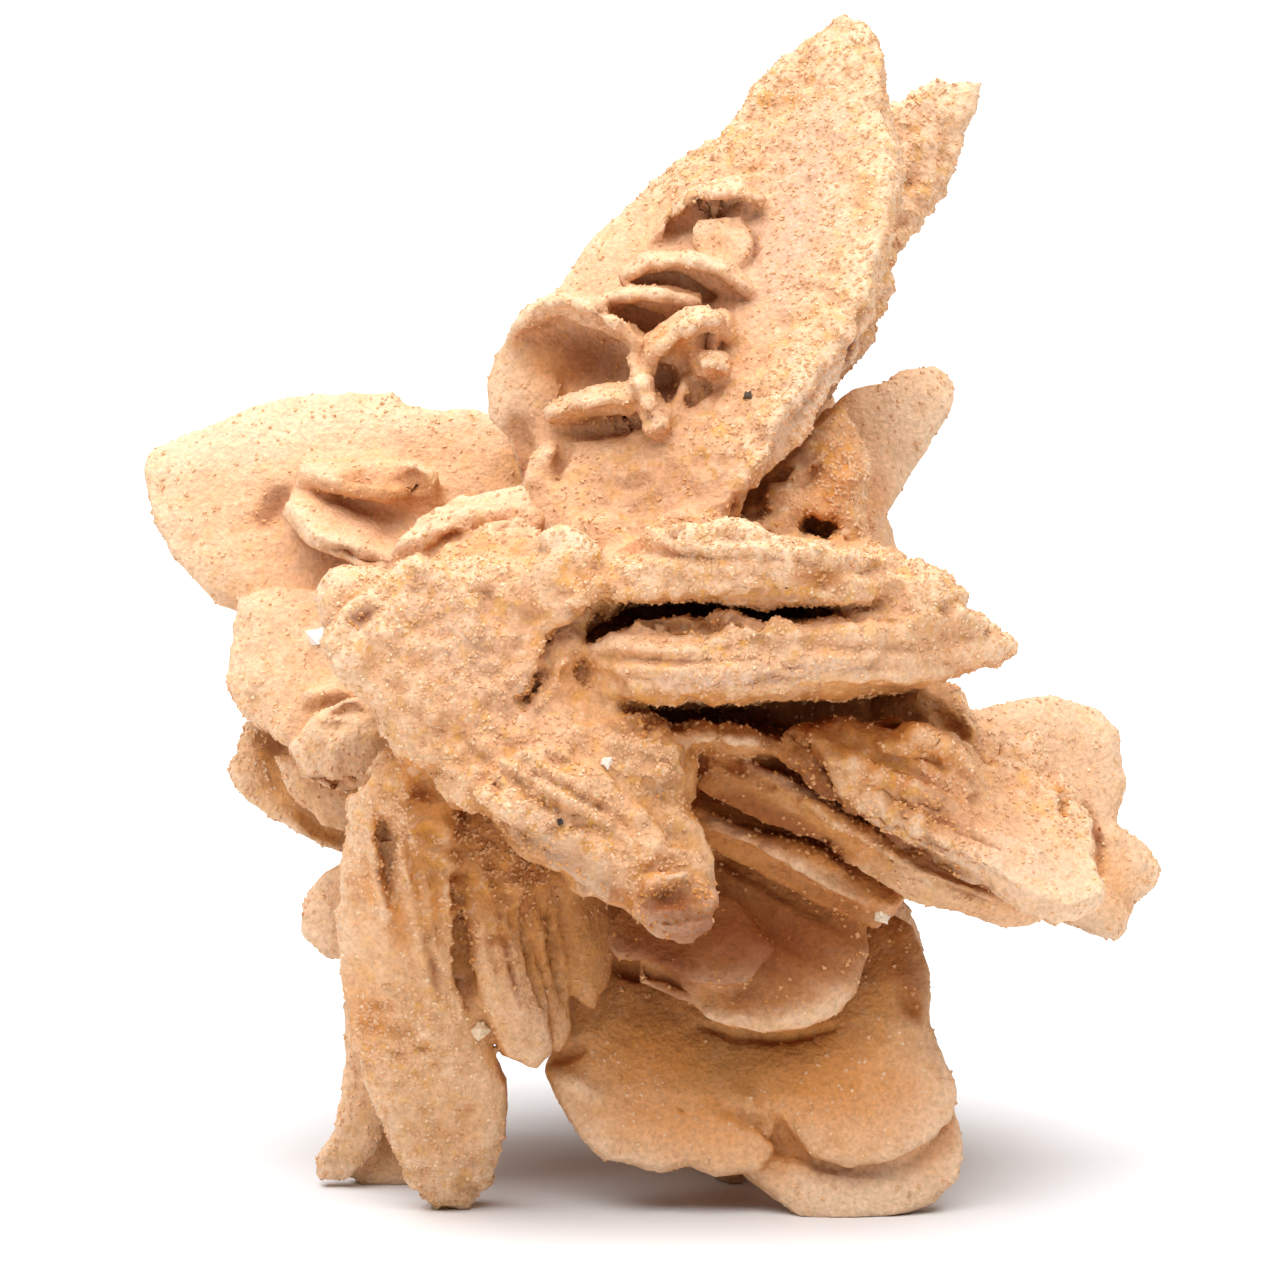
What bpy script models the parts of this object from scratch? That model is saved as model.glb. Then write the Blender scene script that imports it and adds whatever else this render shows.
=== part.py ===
"""A gypsum sand rose: sand-filled gypsum blades grown through each other into one fused cluster.

Lengths in this script are millimetres. A spot on the rose is given as (across, up, near): where it is
seen from the front, on an upright plane through the middle of the rose, and how far it stands
before that plane. The sight lines fall by SIGHT_PITCH and meet SIGHT_DISTANCE before the plane.
World axes: +X across to the right, +Y away from the front, +Z up, origin under the middle.
"""

import math

import bmesh
import bpy
from mathutils import Vector

MM = 0.001

# Line of sight that the outlines are drawn along.
SIGHT_PITCH = math.radians(8.0)
SIGHT_DISTANCE = 400.0
SIGHT_HEIGHT = 29.0

# Middle plane of the tall blade, which smaller ones stand on.
TALL_HEART = (4.8, 45.0)
TALL_NEAR = 5.2
TALL_LEAN = (0.5, -0.75)
TALL_THICK = 2.6

# Distance from that middle plane to the blade's front face, towards the viewer.
TALL_FACE = 1.56

# Thickness of the leaf-shaped blades at the back.
FIN_THICK = 2.4

# Sides and depth of the block below the ground.
GROUND_BLOCK = (200.0, 200.0, 20.0)

# Ground under the lowest blade tips, measured straight down from across 0, up 0, near 0.
GROUND = -1.35

# Blade profile: shares of a blade's thickness.
SHOULDER_INSET = 0.55
SHOULDER_HEIGHT = 0.84
MAX_INSET = 0.4

# How far a leaf-shaped blade's outline swings in and out, as a share of its reach.
LOBES = 0.06

# Loose ends of a union below this length are merged.
MERGE = 0.002

# Faces that meet at less than this angle become one flat face.
FLAT = math.radians(1.5)


def place(across, up, near):
    """World point, in mm, of a spot seen at (across, up) and standing near before the plane."""
    scale = 1.0 - near / SIGHT_DISTANCE
    rise = SIGHT_HEIGHT + (up - SIGHT_HEIGHT) * scale
    x = across * scale
    y = rise * math.sin(SIGHT_PITCH) - near * math.cos(SIGHT_PITCH)
    z = rise * math.cos(SIGHT_PITCH) + near * math.sin(SIGHT_PITCH)
    return Vector((x, y, z + GROUND))


def turn(across, up, near):
    """World direction of a direction given across, up and near."""
    y = up * math.sin(SIGHT_PITCH) - near * math.cos(SIGHT_PITCH)
    z = up * math.cos(SIGHT_PITCH) + near * math.sin(SIGHT_PITCH)
    return Vector((across, y, z)).normalized()


def lens(rim_points, heart, normal, thick, edge):
    """Closed blade mesh: a rim wall, sloping shoulders and a slightly raised heart on each side."""
    mesh = bmesh.new()
    count = len(rim_points)
    sides = []
    for side in (1, -1):
        rim, shoulder = [], []
        for point in rim_points:
            inward = heart - point
            inset = min(SHOULDER_INSET * thick / inward.length, MAX_INSET)
            rim.append(mesh.verts.new((point + normal * side * edge * thick / 2) * MM))
            lift = normal * side * SHOULDER_HEIGHT * thick / 2
            shoulder.append(mesh.verts.new((point + inward * inset + lift) * MM))
        top = mesh.verts.new((heart + normal * side * thick / 2) * MM)
        sides.append((rim, shoulder, top))
    for i in range(count):
        j = (i + 1) % count
        mesh.faces.new((sides[0][0][i], sides[0][0][j], sides[1][0][j], sides[1][0][i]))
        for rim, shoulder, top in sides:
            mesh.faces.new((rim[i], shoulder[i], shoulder[j], rim[j]))
            mesh.faces.new((shoulder[i], top, shoulder[j]))
    bmesh.ops.recalc_face_normals(mesh, faces=mesh.faces)
    return mesh


def middle(points):
    """Area centroid of a closed outline."""
    area, cx, cy = 0.0, 0.0, 0.0
    for (x0, y0), (x1, y1) in zip(points, points[1:] + points[:1]):
        cross = x0 * y1 - x1 * y0
        area += cross / 2
        cx += (x0 + x1) * cross / 6
        cy += (y0 + y1) * cross / 6
    return cx / area, cy / area


def facing(outline, near, lean=(0.0, 0.0), thick=2.0, edge=0.5, heart=None):
    """Blade drawn by the outline seen from the front.

    near is its depth at the heart, and lean how much nearer it gets per mm across and per mm up.
    """
    heart = heart or middle(outline)
    rim = []
    for across, up in outline:
        depth = near + lean[0] * (across - heart[0]) + lean[1] * (up - heart[1])
        rim.append(place(across, up, depth))
    return lens(rim, place(*heart, near), turn(-lean[0], -lean[1], 1.0), thick, edge)


def shelf(outline, up, slope=(0.0, 0.0), thick=2.0, edge=0.5):
    """Blade seen edge-on, drawn by its outline from above as (across, near) points.

    up is its height at the heart, and slope how much it rises per mm across and per mm nearer.
    """
    heart = middle(outline)
    rim = []
    for across, near in outline:
        height = up + slope[0] * (across - heart[0]) + slope[1] * (near - heart[1])
        rim.append(place(across, height, near))
    return lens(rim, place(heart[0], up, heart[1]), turn(-slope[0], 1.0, -slope[1]), thick, edge)


def fin(foot, out, roll, size, edge=0.3, sides=10):
    """Leaf-shaped blade that grows from foot in the direction out, turned by roll degrees about it."""
    length, width = size
    along = turn(*out)
    level = along.cross(Vector((0, 0, 1))).normalized()
    tilt = math.radians(roll)
    flat = level * math.cos(tilt) + along.cross(level) * math.sin(tilt)
    start = place(*foot)
    rim = []
    for i in range(sides):
        angle = math.tau * i / sides
        lobe = 1.0 + LOBES * math.sin(3 * angle + roll)
        reach = along * (1 - math.cos(angle)) * length / 2
        spread = flat * math.sin(angle) * width / 2
        rim.append(start + (reach + spread) * lobe)
    return lens(rim, start + along * length / 2, along.cross(flat), FIN_THICK, edge)


def core():
    """The crowded heart of the cluster, where the blades meet."""
    outline = [
        (-12.0, 30.0), (-8.5, 33.8), (-2.0, 35.0), (6.0, 34.0), (11.5, 30.5), (12.0, 24.0),
        (8.5, 18.0), (1.0, 16.0), (-7.0, 19.0), (-12.0, 24.5),
    ]
    return facing(outline, near=1.5, thick=15.0, edge=0.55, heart=(0.0, 25.5))


def stem():
    """Lower part of the heart, between the feet."""
    outline = [
        (-7.0, 18.0), (-2.0, 21.0), (7.0, 21.0), (11.0, 16.0), (10.0, 9.0), (6.0, 6.2),
        (1.5, 7.0), (-2.5, 11.0),
    ]
    return facing(outline, near=0.0, thick=8.0, edge=0.5)


def crown():
    """Upper part of the heart, behind the foot of the tall blade."""
    outline = [
        (-3.5, 38.0), (-0.5, 41.0), (4.0, 42.0), (8.0, 41.0), (10.2, 38.5), (11.0, 34.5),
        (9.0, 30.5), (0.0, 30.5), (-4.0, 33.5),
    ]
    return facing(outline, near=0.0, lean=(0.2, -0.4), thick=9.0, edge=0.5)


def front_mass():
    """Rough blade across the middle of the front, its lower left edge hanging over the blades below."""
    broad = [
        (-16.1, 28.9), (-15.2, 30.4), (-13.4, 31.5), (-12.0, 32.6), (-9.5, 33.1), (-6.5, 32.7),
        (-4.8, 33.1), (-3.5, 31.0), (-4.0, 28.0), (-1.5, 24.2), (1.5, 22.5), (3.0, 19.5),
        (3.8, 16.8), (3.6, 14.8), (2.0, 14.1), (0.0, 15.2), (-2.0, 16.0), (-4.0, 17.4),
        (-6.0, 18.2), (-7.5, 20.0), (-9.5, 22.1), (-12.0, 23.4), (-13.2, 25.6), (-15.0, 27.1),
    ]
    ledge = [
        (-8.1, 21.5), (-7.0, 23.4), (-4.5, 23.8), (-2.0, 22.8), (0.0, 20.8), (1.8, 18.5),
        (0.0, 17.0), (-2.0, 16.4), (-4.0, 17.6), (-6.0, 18.8),
    ]
    nub = [
        (-1.5, 17.4), (0.0, 18.4), (2.2, 18.5), (3.4, 17.4), (3.9, 16.0), (3.6, 14.6),
        (2.5, 14.1), (1.0, 14.3), (-0.5, 15.5),
    ]
    lump = [
        (-16.2, 31.0), (-15.8, 32.1), (-14.5, 32.8), (-12.8, 32.7), (-11.5, 31.5),
        (-12.5, 30.0), (-14.5, 29.0), (-15.8, 29.5),
    ]
    upper_flake = [
        (-12.8, 31.8), (-12.2, 33.5), (-11.0, 35.0), (-9.0, 36.1), (-5.8, 36.5), (-4.8, 35.0),
        (-6.0, 32.5), (-9.0, 31.0),
    ]
    lower_flake = [
        (-10.5, 32.8), (-8.6, 34.4), (-6.2, 35.0), (-4.6, 33.9), (-4.8, 31.5), (-8.0, 30.5),
    ]
    crest = [
        (-5.8, 32.0), (-4.8, 33.8), (-4.0, 34.4), (-3.0, 34.0), (-2.0, 33.0), (-1.5, 31.5),
        (-3.0, 30.2), (-5.0, 30.5),
    ]
    return [
        facing(broad, near=14.4, lean=(-0.12, -0.06), thick=4.2, edge=0.6),
        facing(ledge, near=16.6, lean=(-0.15, 0.1), thick=2.2, edge=0.5),
        facing(nub, near=15.6, lean=(-0.1, -0.5), thick=3.0, edge=0.6),
        facing(lump, near=12.5, lean=(0.3, -0.3), thick=3.2, edge=0.4),
        facing(upper_flake, near=10.8, lean=(0.1, -0.5), thick=2.0, edge=0.5),
        facing(lower_flake, near=13.2, lean=(0.1, -0.5), thick=2.0, edge=0.5),
        facing(crest, near=15.6, lean=(0.2, -0.4), thick=2.6, edge=0.5),
    ]


def front_shelves():
    """Thick level blades seen edge-on, parted by a deep slot, with a thin one under them."""
    upper_left = [
        (-4.0, 13.0), (-2.2, 16.2), (0.6, 17.2), (3.5, 17.4), (5.6, 15.6), (5.6, 5.0), (1.0, -2.0),
        (-5.0, 0.0), (-6.0, 7.0),
    ]
    upper = [
        (0.2, 14.5), (2.0, 17.4), (4.6, 18.2), (7.6, 18.3), (10.0, 17.4), (12.0, 15.6), (13.2, 12.6),
        (13.2, 9.0), (11.0, 3.0), (7.0, -3.0), (1.0, -4.5), (-0.6, 5.0),
    ]
    lower = [
        (-3.6, 12.0), (-2.6, 15.0), (0.0, 16.8), (4.0, 17.6), (8.0, 17.6), (11.0, 16.8), (13.4, 15.2),
        (15.4, 13.0), (16.0, 10.0), (14.0, 5.0), (9.6, 0.0), (3.0, -3.5), (-4.0, -1.0), (-6.0, 6.0),
    ]
    tip = [
        (11.0, 30.0), (13.8, 30.9), (15.8, 30.6), (17.2, 29.8), (18.2, 29.3), (18.8, 28.5),
        (18.3, 27.8), (17.0, 27.6), (15.2, 27.6), (13.8, 27.0), (11.5, 26.5), (10.0, 28.0),
    ]
    thin = [(-2.4, 9.0), (0.0, 13.2), (3.0, 14.2), (5.6, 13.6), (7.2, 11.6), (6.6, 7.0), (2.0, 3.0), (-3.0, 4.0)]
    bridge = [
        (9.9, 31.5), (10.5, 33.2), (12.0, 33.4), (13.2, 33.0), (15.0, 32.6), (15.6, 31.6),
        (16.0, 30.4), (17.2, 29.8), (15.0, 28.5), (12.0, 28.8), (10.2, 29.8),
    ]
    web = [
        (-5.0, 25.0), (-4.6, 26.5), (-3.9, 27.8), (-2.5, 28.5), (-0.5, 28.5), (0.5, 26.5),
        (-1.0, 24.9), (-3.0, 24.5),
    ]
    root = [
        (-6.0, 29.0), (-5.5, 31.0), (-4.0, 33.0), (-1.0, 33.0), (0.0, 31.0), (-2.0, 29.8),
        (-3.5, 28.5), (-4.8, 27.8),
    ]
    knob = [
        (-2.9, 33.8), (-2.4, 35.0), (-1.2, 35.4), (0.0, 34.9), (0.5, 33.5), (-0.5, 32.2),
        (-2.0, 32.2),
    ]
    flake = [
        (0.1, 34.5), (1.2, 35.4), (2.5, 35.8), (3.9, 35.4), (4.5, 34.2), (3.8, 33.2),
        (1.5, 33.0), (0.2, 33.5),
    ]
    return [
        shelf(upper_left, up=31.95, slope=(0.1, 0.0), thick=2.6, edge=0.62),
        shelf(upper, up=32.5, slope=(-0.05, 0.0), thick=3.4, edge=0.6),
        shelf(lower, up=27.8, slope=(0.07, 0.0), thick=4.1, edge=0.6),
        facing(tip, near=12.6, lean=(-0.5, -0.1), thick=3.0, edge=0.4),
        shelf(thin, up=23.8, slope=(-0.03, 0.03), thick=1.2, edge=0.6),
        facing(bridge, near=13.4, lean=(-0.45, -0.1), thick=3.2, edge=0.5),
        facing(web, near=13.0, lean=(0.1, -0.2), thick=2.4, edge=0.5),
        facing(root, near=12.6, lean=(0.0, -0.2), thick=3.0, edge=0.5),
        facing(knob, near=11.0, lean=(0.1, -0.4), thick=2.4, edge=0.5),
        facing(flake, near=13.0, lean=(0.0, -0.6), thick=1.8, edge=0.5),
    ]


def tall_blade():
    """The highest blade, leaning back to the left, with the two blades behind it and the lump below."""
    tall = [
        (10.4, 59.7), (8.2, 58.4), (6.5, 56.6), (4.2, 54.2), (1.2, 52.1), (-0.8, 50.1),
        (-2.3, 48.7), (-3.6, 46.7), (-5.9, 44.3), (-7.2, 42.2), (-7.2, 40.4), (-6.4, 39.0),
        (-5.8, 36.0), (-4.0, 33.0), (0.0, 32.0), (3.0, 33.6), (5.1, 36.0), (7.0, 38.5),
        (8.6, 40.9), (10.3, 43.5), (11.7, 46.2), (12.6, 49.2), (12.8, 52.0), (12.6, 55.5),
        (12.3, 57.8), (11.6, 59.3),
    ]
    behind = [
        (13.2, 56.3), (14.5, 56.9), (15.4, 56.5), (17.1, 56.6), (16.8, 55.2), (16.0, 53.0),
        (15.0, 50.9), (13.2, 48.1), (11.5, 44.0), (8.0, 38.5), (5.5, 39.5), (6.5, 44.5),
        (9.0, 51.0), (11.0, 54.5),
    ]
    short = [
        (10.8, 41.6), (12.0, 41.8), (12.8, 42.5), (14.5, 42.7), (15.5, 41.9), (15.2, 40.4),
        (14.1, 38.2), (12.5, 35.6), (11.1, 33.0), (8.0, 30.0), (5.0, 31.0), (6.0, 36.0),
        (8.5, 39.5),
    ]
    lump = [
        (9.8, 40.6), (10.6, 39.6), (11.2, 38.2), (11.2, 36.0), (11.1, 33.5), (10.5, 31.0),
        (7.5, 31.0), (4.8, 33.0), (4.8, 34.9), (6.2, 36.4), (7.5, 37.9), (8.6, 39.4),
    ]
    return [
        facing(tall, TALL_NEAR, TALL_LEAN, thick=TALL_THICK, edge=0.6, heart=TALL_HEART),
        facing(behind, near=-7.5, lean=(-0.15, -0.35), thick=2.2, edge=0.5),
        facing(short, near=-1.5, lean=(-0.2, -0.3), thick=2.2, edge=0.5),
        facing(lump, near=7.5, lean=(-0.3, -0.15), thick=3.6, edge=0.45),
    ]


def on_tall(outline, stand, lean, thick=1.3, edge=0.7):
    """Small blade whose heart stands out by stand from the front face of the tall blade."""
    across, up = middle(outline)
    near = TALL_NEAR + TALL_LEAN[0] * (across - TALL_HEART[0]) + TALL_LEAN[1] * (up - TALL_HEART[1])
    return facing(outline, near + TALL_FACE + stand, lean, thick, edge)


def rosette():
    """Small curled blades that stand out of the left face of the tall blade."""
    hood = [
        (-7.1, 43.5), (-6.0, 45.1), (-4.5, 45.8), (-2.5, 45.6), (-0.8, 44.8), (0.6, 43.6),
        (-0.2, 42.4), (-2.0, 41.4), (-4.5, 41.1), (-6.4, 41.8),
    ]
    lobe = [
        (-7.6, 41.8), (-7.2, 43.2), (-6.0, 44.0), (-4.5, 43.5), (-3.8, 41.5), (-4.5, 39.5),
        (-6.2, 39.0), (-7.4, 40.0),
    ]
    lower_edge = [
        (-4.6, 40.7), (-3.5, 41.2), (-1.8, 41.6), (0.0, 41.8), (0.2, 40.9), (-0.8, 40.1),
        (-2.5, 39.8), (-4.0, 39.9),
    ]
    spike = [
        (-0.9, 43.4), (0.0, 43.0), (0.8, 41.2), (1.4, 39.4), (0.5, 39.2), (-0.2, 41.0),
    ]
    cup = [
        (-0.1, 42.8), (0.5, 44.2), (1.8, 45.2), (3.2, 45.5), (4.1, 44.9), (3.8, 43.8),
        (2.5, 43.1), (1.6, 41.8), (0.8, 41.4),
    ]
    chip = [
        (2.4, 43.4), (3.2, 43.8), (4.2, 43.2), (4.1, 42.4), (3.0, 42.0), (2.4, 42.6),
    ]
    upper_edge = [
        (-2.1, 45.9), (-0.5, 46.4), (1.2, 46.4), (2.8, 45.9), (2.0, 45.1), (0.2, 44.7),
        (-1.4, 45.1),
    ]
    arch = [
        (-1.1, 47.4), (0.0, 48.1), (2.5, 48.3), (4.2, 47.5), (5.8, 46.1), (4.9, 45.7),
        (3.0, 46.0), (1.0, 46.5), (-0.8, 46.5),
    ]
    disc = [
        (2.6, 48.8), (2.8, 49.9), (3.6, 50.6), (4.6, 50.5), (5.5, 49.5), (5.7, 48.4),
        (5.0, 47.5), (3.2, 47.6),
    ]
    brow = [
        (0.8, 49.4), (1.6, 51.0), (3.0, 51.9), (4.8, 52.1), (6.2, 51.0), (5.2, 50.4),
        (3.2, 50.5), (2.0, 49.2),
    ]
    return [
        on_tall(hood, 1.3, (0.5, 0.9), 1.5),
        on_tall(lobe, 0.2, (0.5, -0.3), 2.0, 0.5),
        on_tall(lower_edge, 1.3, (0.4, 0.9)),
        on_tall(spike, 1.2, (1.0, -0.6)),
        on_tall(cup, 1.8, (0.2, 0.7)),
        on_tall(chip, 1.4, (0.3, -0.4), 1.6, 0.6),
        on_tall(upper_edge, 1.8, (0.4, 0.9)),
        on_tall(arch, 1.5, (0.3, 0.7)),
        on_tall(disc, 0.8, (0.3, -0.6), 1.4),
        on_tall(brow, 0.9, (0.4, 0.6)),
    ]


def left_wing():
    """Broad pale blade out to the left, with a knot of small lenses on its face."""
    wing = [
        (-24.5, 37.5), (-24.0, 38.5), (-22.8, 39.0), (-19.5, 40.1), (-16.0, 40.8),
        (-12.2, 41.0), (-10.8, 40.1), (-8.0, 40.3), (-6.2, 39.0), (-5.0, 36.5), (-6.0, 33.0),
        (-10.0, 29.0), (-15.0, 29.0), (-18.5, 30.1), (-21.5, 31.2), (-23.0, 33.0),
        (-24.1, 35.0),
    ]
    capsule = [
        (-17.8, -1.6), (-16.4, 0.4), (-14.0, 1.2), (-11.8, 0.6), (-10.6, -1.0), (-11.0, -4.2), (-14.0, -6.0),
        (-17.0, -5.0),
    ]
    ring = [
        (-17.2, -2.8), (-15.4, -1.2), (-12.8, -0.6), (-10.6, -1.4), (-9.8, -4.2), (-13.0, -6.2), (-16.6, -5.8),
    ]
    curl = [
        (-13.9, 36.4), (-13.0, 37.5), (-11.5, 37.9), (-10.2, 37.2), (-10.0, 35.9),
        (-11.0, 34.7), (-12.4, 35.2),
    ]
    return [
        facing(wing, near=-4.2, lean=(0.2, -0.45), thick=3.0, edge=0.6),
        shelf(capsule, up=34.8, slope=(-0.33, -0.5), thick=1.4, edge=0.6),
        shelf(ring, up=37.4, slope=(-0.05, -0.35), thick=1.3, edge=0.6),
        facing(curl, near=-2.4, lean=(0.3, 0.5), thick=1.4, edge=0.6),
    ]


def left_stack():
    """Overlapping blades below the wing."""
    slab = [
        (-20.0, 30.9), (-20.2, 29.0), (-20.5, 26.5), (-19.9, 25.4), (-18.2, 24.0),
        (-16.5, 22.9), (-14.5, 23.2), (-12.0, 25.2), (-10.5, 27.0), (-11.0, 30.0),
        (-15.0, 31.5), (-18.0, 31.5),
    ]
    round_face = [
        (-17.3, 23.8), (-16.5, 25.2), (-14.8, 26.2), (-12.8, 26.0), (-11.8, 24.8),
        (-12.1, 23.2), (-13.5, 21.8), (-15.2, 21.4), (-16.8, 22.2),
    ]
    outer = [
        (-19.9, 24.9), (-20.3, 23.0), (-19.8, 21.6), (-18.2, 20.1), (-16.5, 19.1),
        (-14.5, 18.4), (-10.5, 18.5), (-7.0, 21.0), (-8.0, 24.5), (-13.0, 25.8), (-18.0, 25.8),
    ]
    rim = [
        (-18.0, 23.1), (-17.5, 21.4), (-16.0, 20.0), (-14.0, 19.2), (-12.0, 19.5),
        (-12.0, 22.0), (-15.0, 23.8),
    ]
    return [
        facing(slab, near=0.3, lean=(0.3, -0.35), thick=2.6, edge=0.5),
        facing(round_face, near=4.2, lean=(0.2, 0.2), thick=2.4, edge=0.5),
        facing(outer, near=-3.2, lean=(0.3, -0.2), thick=2.2, edge=0.5),
        facing(rim, near=0.4, lean=(0.3, 0.1), thick=1.8, edge=0.6),
    ]


def lower_left():
    """Long blade that reaches the ground on the left, and the deck of narrower ones beside it."""
    long_one = [
        (-11.8, 23.8), (-13.5, 22.2), (-14.4, 20.8), (-14.9, 17.5), (-15.1, 15.0),
        (-14.7, 11.8), (-14.0, 8.5), (-13.5, 6.2), (-12.4, 4.1), (-11.4, 2.1), (-10.1, 0.7),
        (-8.8, 0.8), (-7.6, 1.9), (-6.9, 4.2), (-6.8, 6.8), (-7.9, 9.9), (-8.7, 12.5),
        (-9.2, 15.8), (-8.9, 19.5), (-9.2, 22.2),
    ]
    second = [
        (-9.2, 19.5), (-9.2, 16.5), (-8.7, 12.8), (-7.8, 10.2), (-6.8, 8.2), (-5.4, 7.7),
        (-4.5, 8.5), (-4.8, 11.0), (-5.5, 14.0), (-5.8, 17.0), (-6.2, 20.0), (-8.0, 21.0),
    ]
    third = [
        (-6.4, 18.5), (-5.8, 15.0), (-5.1, 11.8), (-4.8, 9.0), (-4.2, 8.4), (-3.5, 9.4),
        (-3.7, 12.0), (-4.2, 14.8), (-4.5, 18.0), (-5.5, 19.5),
    ]
    fourth = [
        (-4.8, 18.5), (-4.5, 15.5), (-3.9, 12.8), (-3.2, 11.1), (-2.4, 10.6), (-1.7, 11.9),
        (-1.3, 13.5), (-1.0, 16.0), (-1.8, 18.0), (-3.2, 19.0),
    ]
    bud = [
        (-14.8, 17.9), (-15.9, 17.2), (-16.8, 15.8), (-16.8, 14.4), (-16.0, 13.4),
        (-14.5, 12.9), (-10.0, 13.5), (-5.0, 14.5), (-5.0, 17.5), (-10.0, 18.5),
    ]
    return [
        facing(long_one, near=8.2, lean=(-0.1, 0.42), thick=3.4, edge=0.5),
        facing(second, near=8.6, lean=(-0.4, 0.25), thick=2.0, edge=0.5),
        facing(third, near=6.9, lean=(-0.5, 0.25), thick=1.8, edge=0.5),
        facing(fourth, near=5.9, lean=(-0.5, 0.2), thick=1.8, edge=0.5),
        facing(bud, near=1.0, lean=(0.1, 0.0), thick=1.8, edge=0.5),
    ]


def back_left_foot():
    """Blades behind the long one, which reach the ground beside it."""
    pale = [
        (-14.7, 11.0), (-14.6, 8.5), (-14.8, 6.2), (-15.3, 4.4), (-16.1, 3.1), (-16.0, 2.2),
        (-14.8, 1.9), (-13.2, 3.5), (-12.0, 6.0), (-10.0, 8.5), (-6.0, 11.0), (-4.0, 15.0),
        (-7.0, 17.0), (-12.0, 14.0),
    ]
    dark = [
        (-14.4, 4.5), (-14.5, 2.4), (-13.6, 1.4), (-12.0, 1.3), (-10.8, 2.5), (-10.0, 6.0),
        (-9.5, 11.0), (-11.0, 13.0),
    ]
    return [
        facing(pale, near=-0.6, lean=(0.1, 0.05), thick=2.0, edge=0.5),
        facing(dark, near=-2.4, lean=(0.0, 0.05), thick=2.2, edge=0.5),
    ]


def lower_right():
    """Shingled blades under the front, the lowest of which reaches the ground on the right."""
    left = [
        (-4.8, 7.4), (-4.0, 5.9), (-2.9, 4.1), (-1.8, 3.1), (1.2, 2.4), (2.5, 2.9), (3.8, 2.2),
        (6.0, 2.5), (6.8, 3.6), (6.5, 5.5), (7.0, 8.5), (5.0, 12.0), (1.0, 13.5), (-3.4, 12.1),
        (-4.4, 9.2),
    ]
    right = [
        (5.2, 8.0), (6.2, 5.8), (7.5, 4.4), (8.6, 3.2), (10.5, 2.7), (12.6, 3.0), (14.4, 3.8),
        (15.6, 5.0), (16.0, 6.5), (15.2, 8.2), (14.6, 10.0), (14.4, 12.5), (13.5, 14.6),
        (11.0, 16.0), (7.5, 14.5), (5.5, 11.5),
    ]
    bottom = [
        (4.5, 3.0), (6.2, 1.6), (8.0, 0.2), (10.5, 0.0), (12.6, 0.2), (14.6, 1.0), (15.9, 2.1),
        (16.2, 3.6), (15.8, 5.8), (13.0, 7.5), (8.0, 7.5), (5.0, 5.5),
    ]
    shade = [
        (0.0, 11.8), (2.5, 10.9), (3.8, 9.9), (6.0, 9.4), (8.1, 9.6), (10.0, 10.5),
        (11.0, 12.0), (11.4, 13.8), (11.2, 15.5), (9.5, 17.5), (5.5, 18.5), (1.5, 16.5),
        (-0.2, 14.0),
    ]
    ledge = [
        (-1.7, 14.2), (-1.3, 13.1), (0.6, 12.9), (3.0, 11.8), (5.5, 11.8), (6.8, 13.5),
        (5.0, 16.0), (2.0, 16.5), (-0.8, 15.8),
    ]
    return [
        facing(left, near=4.2, lean=(0.0, -0.3), thick=2.2, edge=0.5),
        facing(right, near=4.5, lean=(0.05, -0.3), thick=2.2, edge=0.5),
        facing(bottom, near=4.2, lean=(0.0, -0.3), thick=2.4, edge=0.5),
        facing(shade, near=6.8, lean=(0.0, -0.25), thick=2.0, edge=0.5),
        facing(ledge, near=8.4, lean=(0.0, -0.3), thick=1.6, edge=0.6),
    ]


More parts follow.
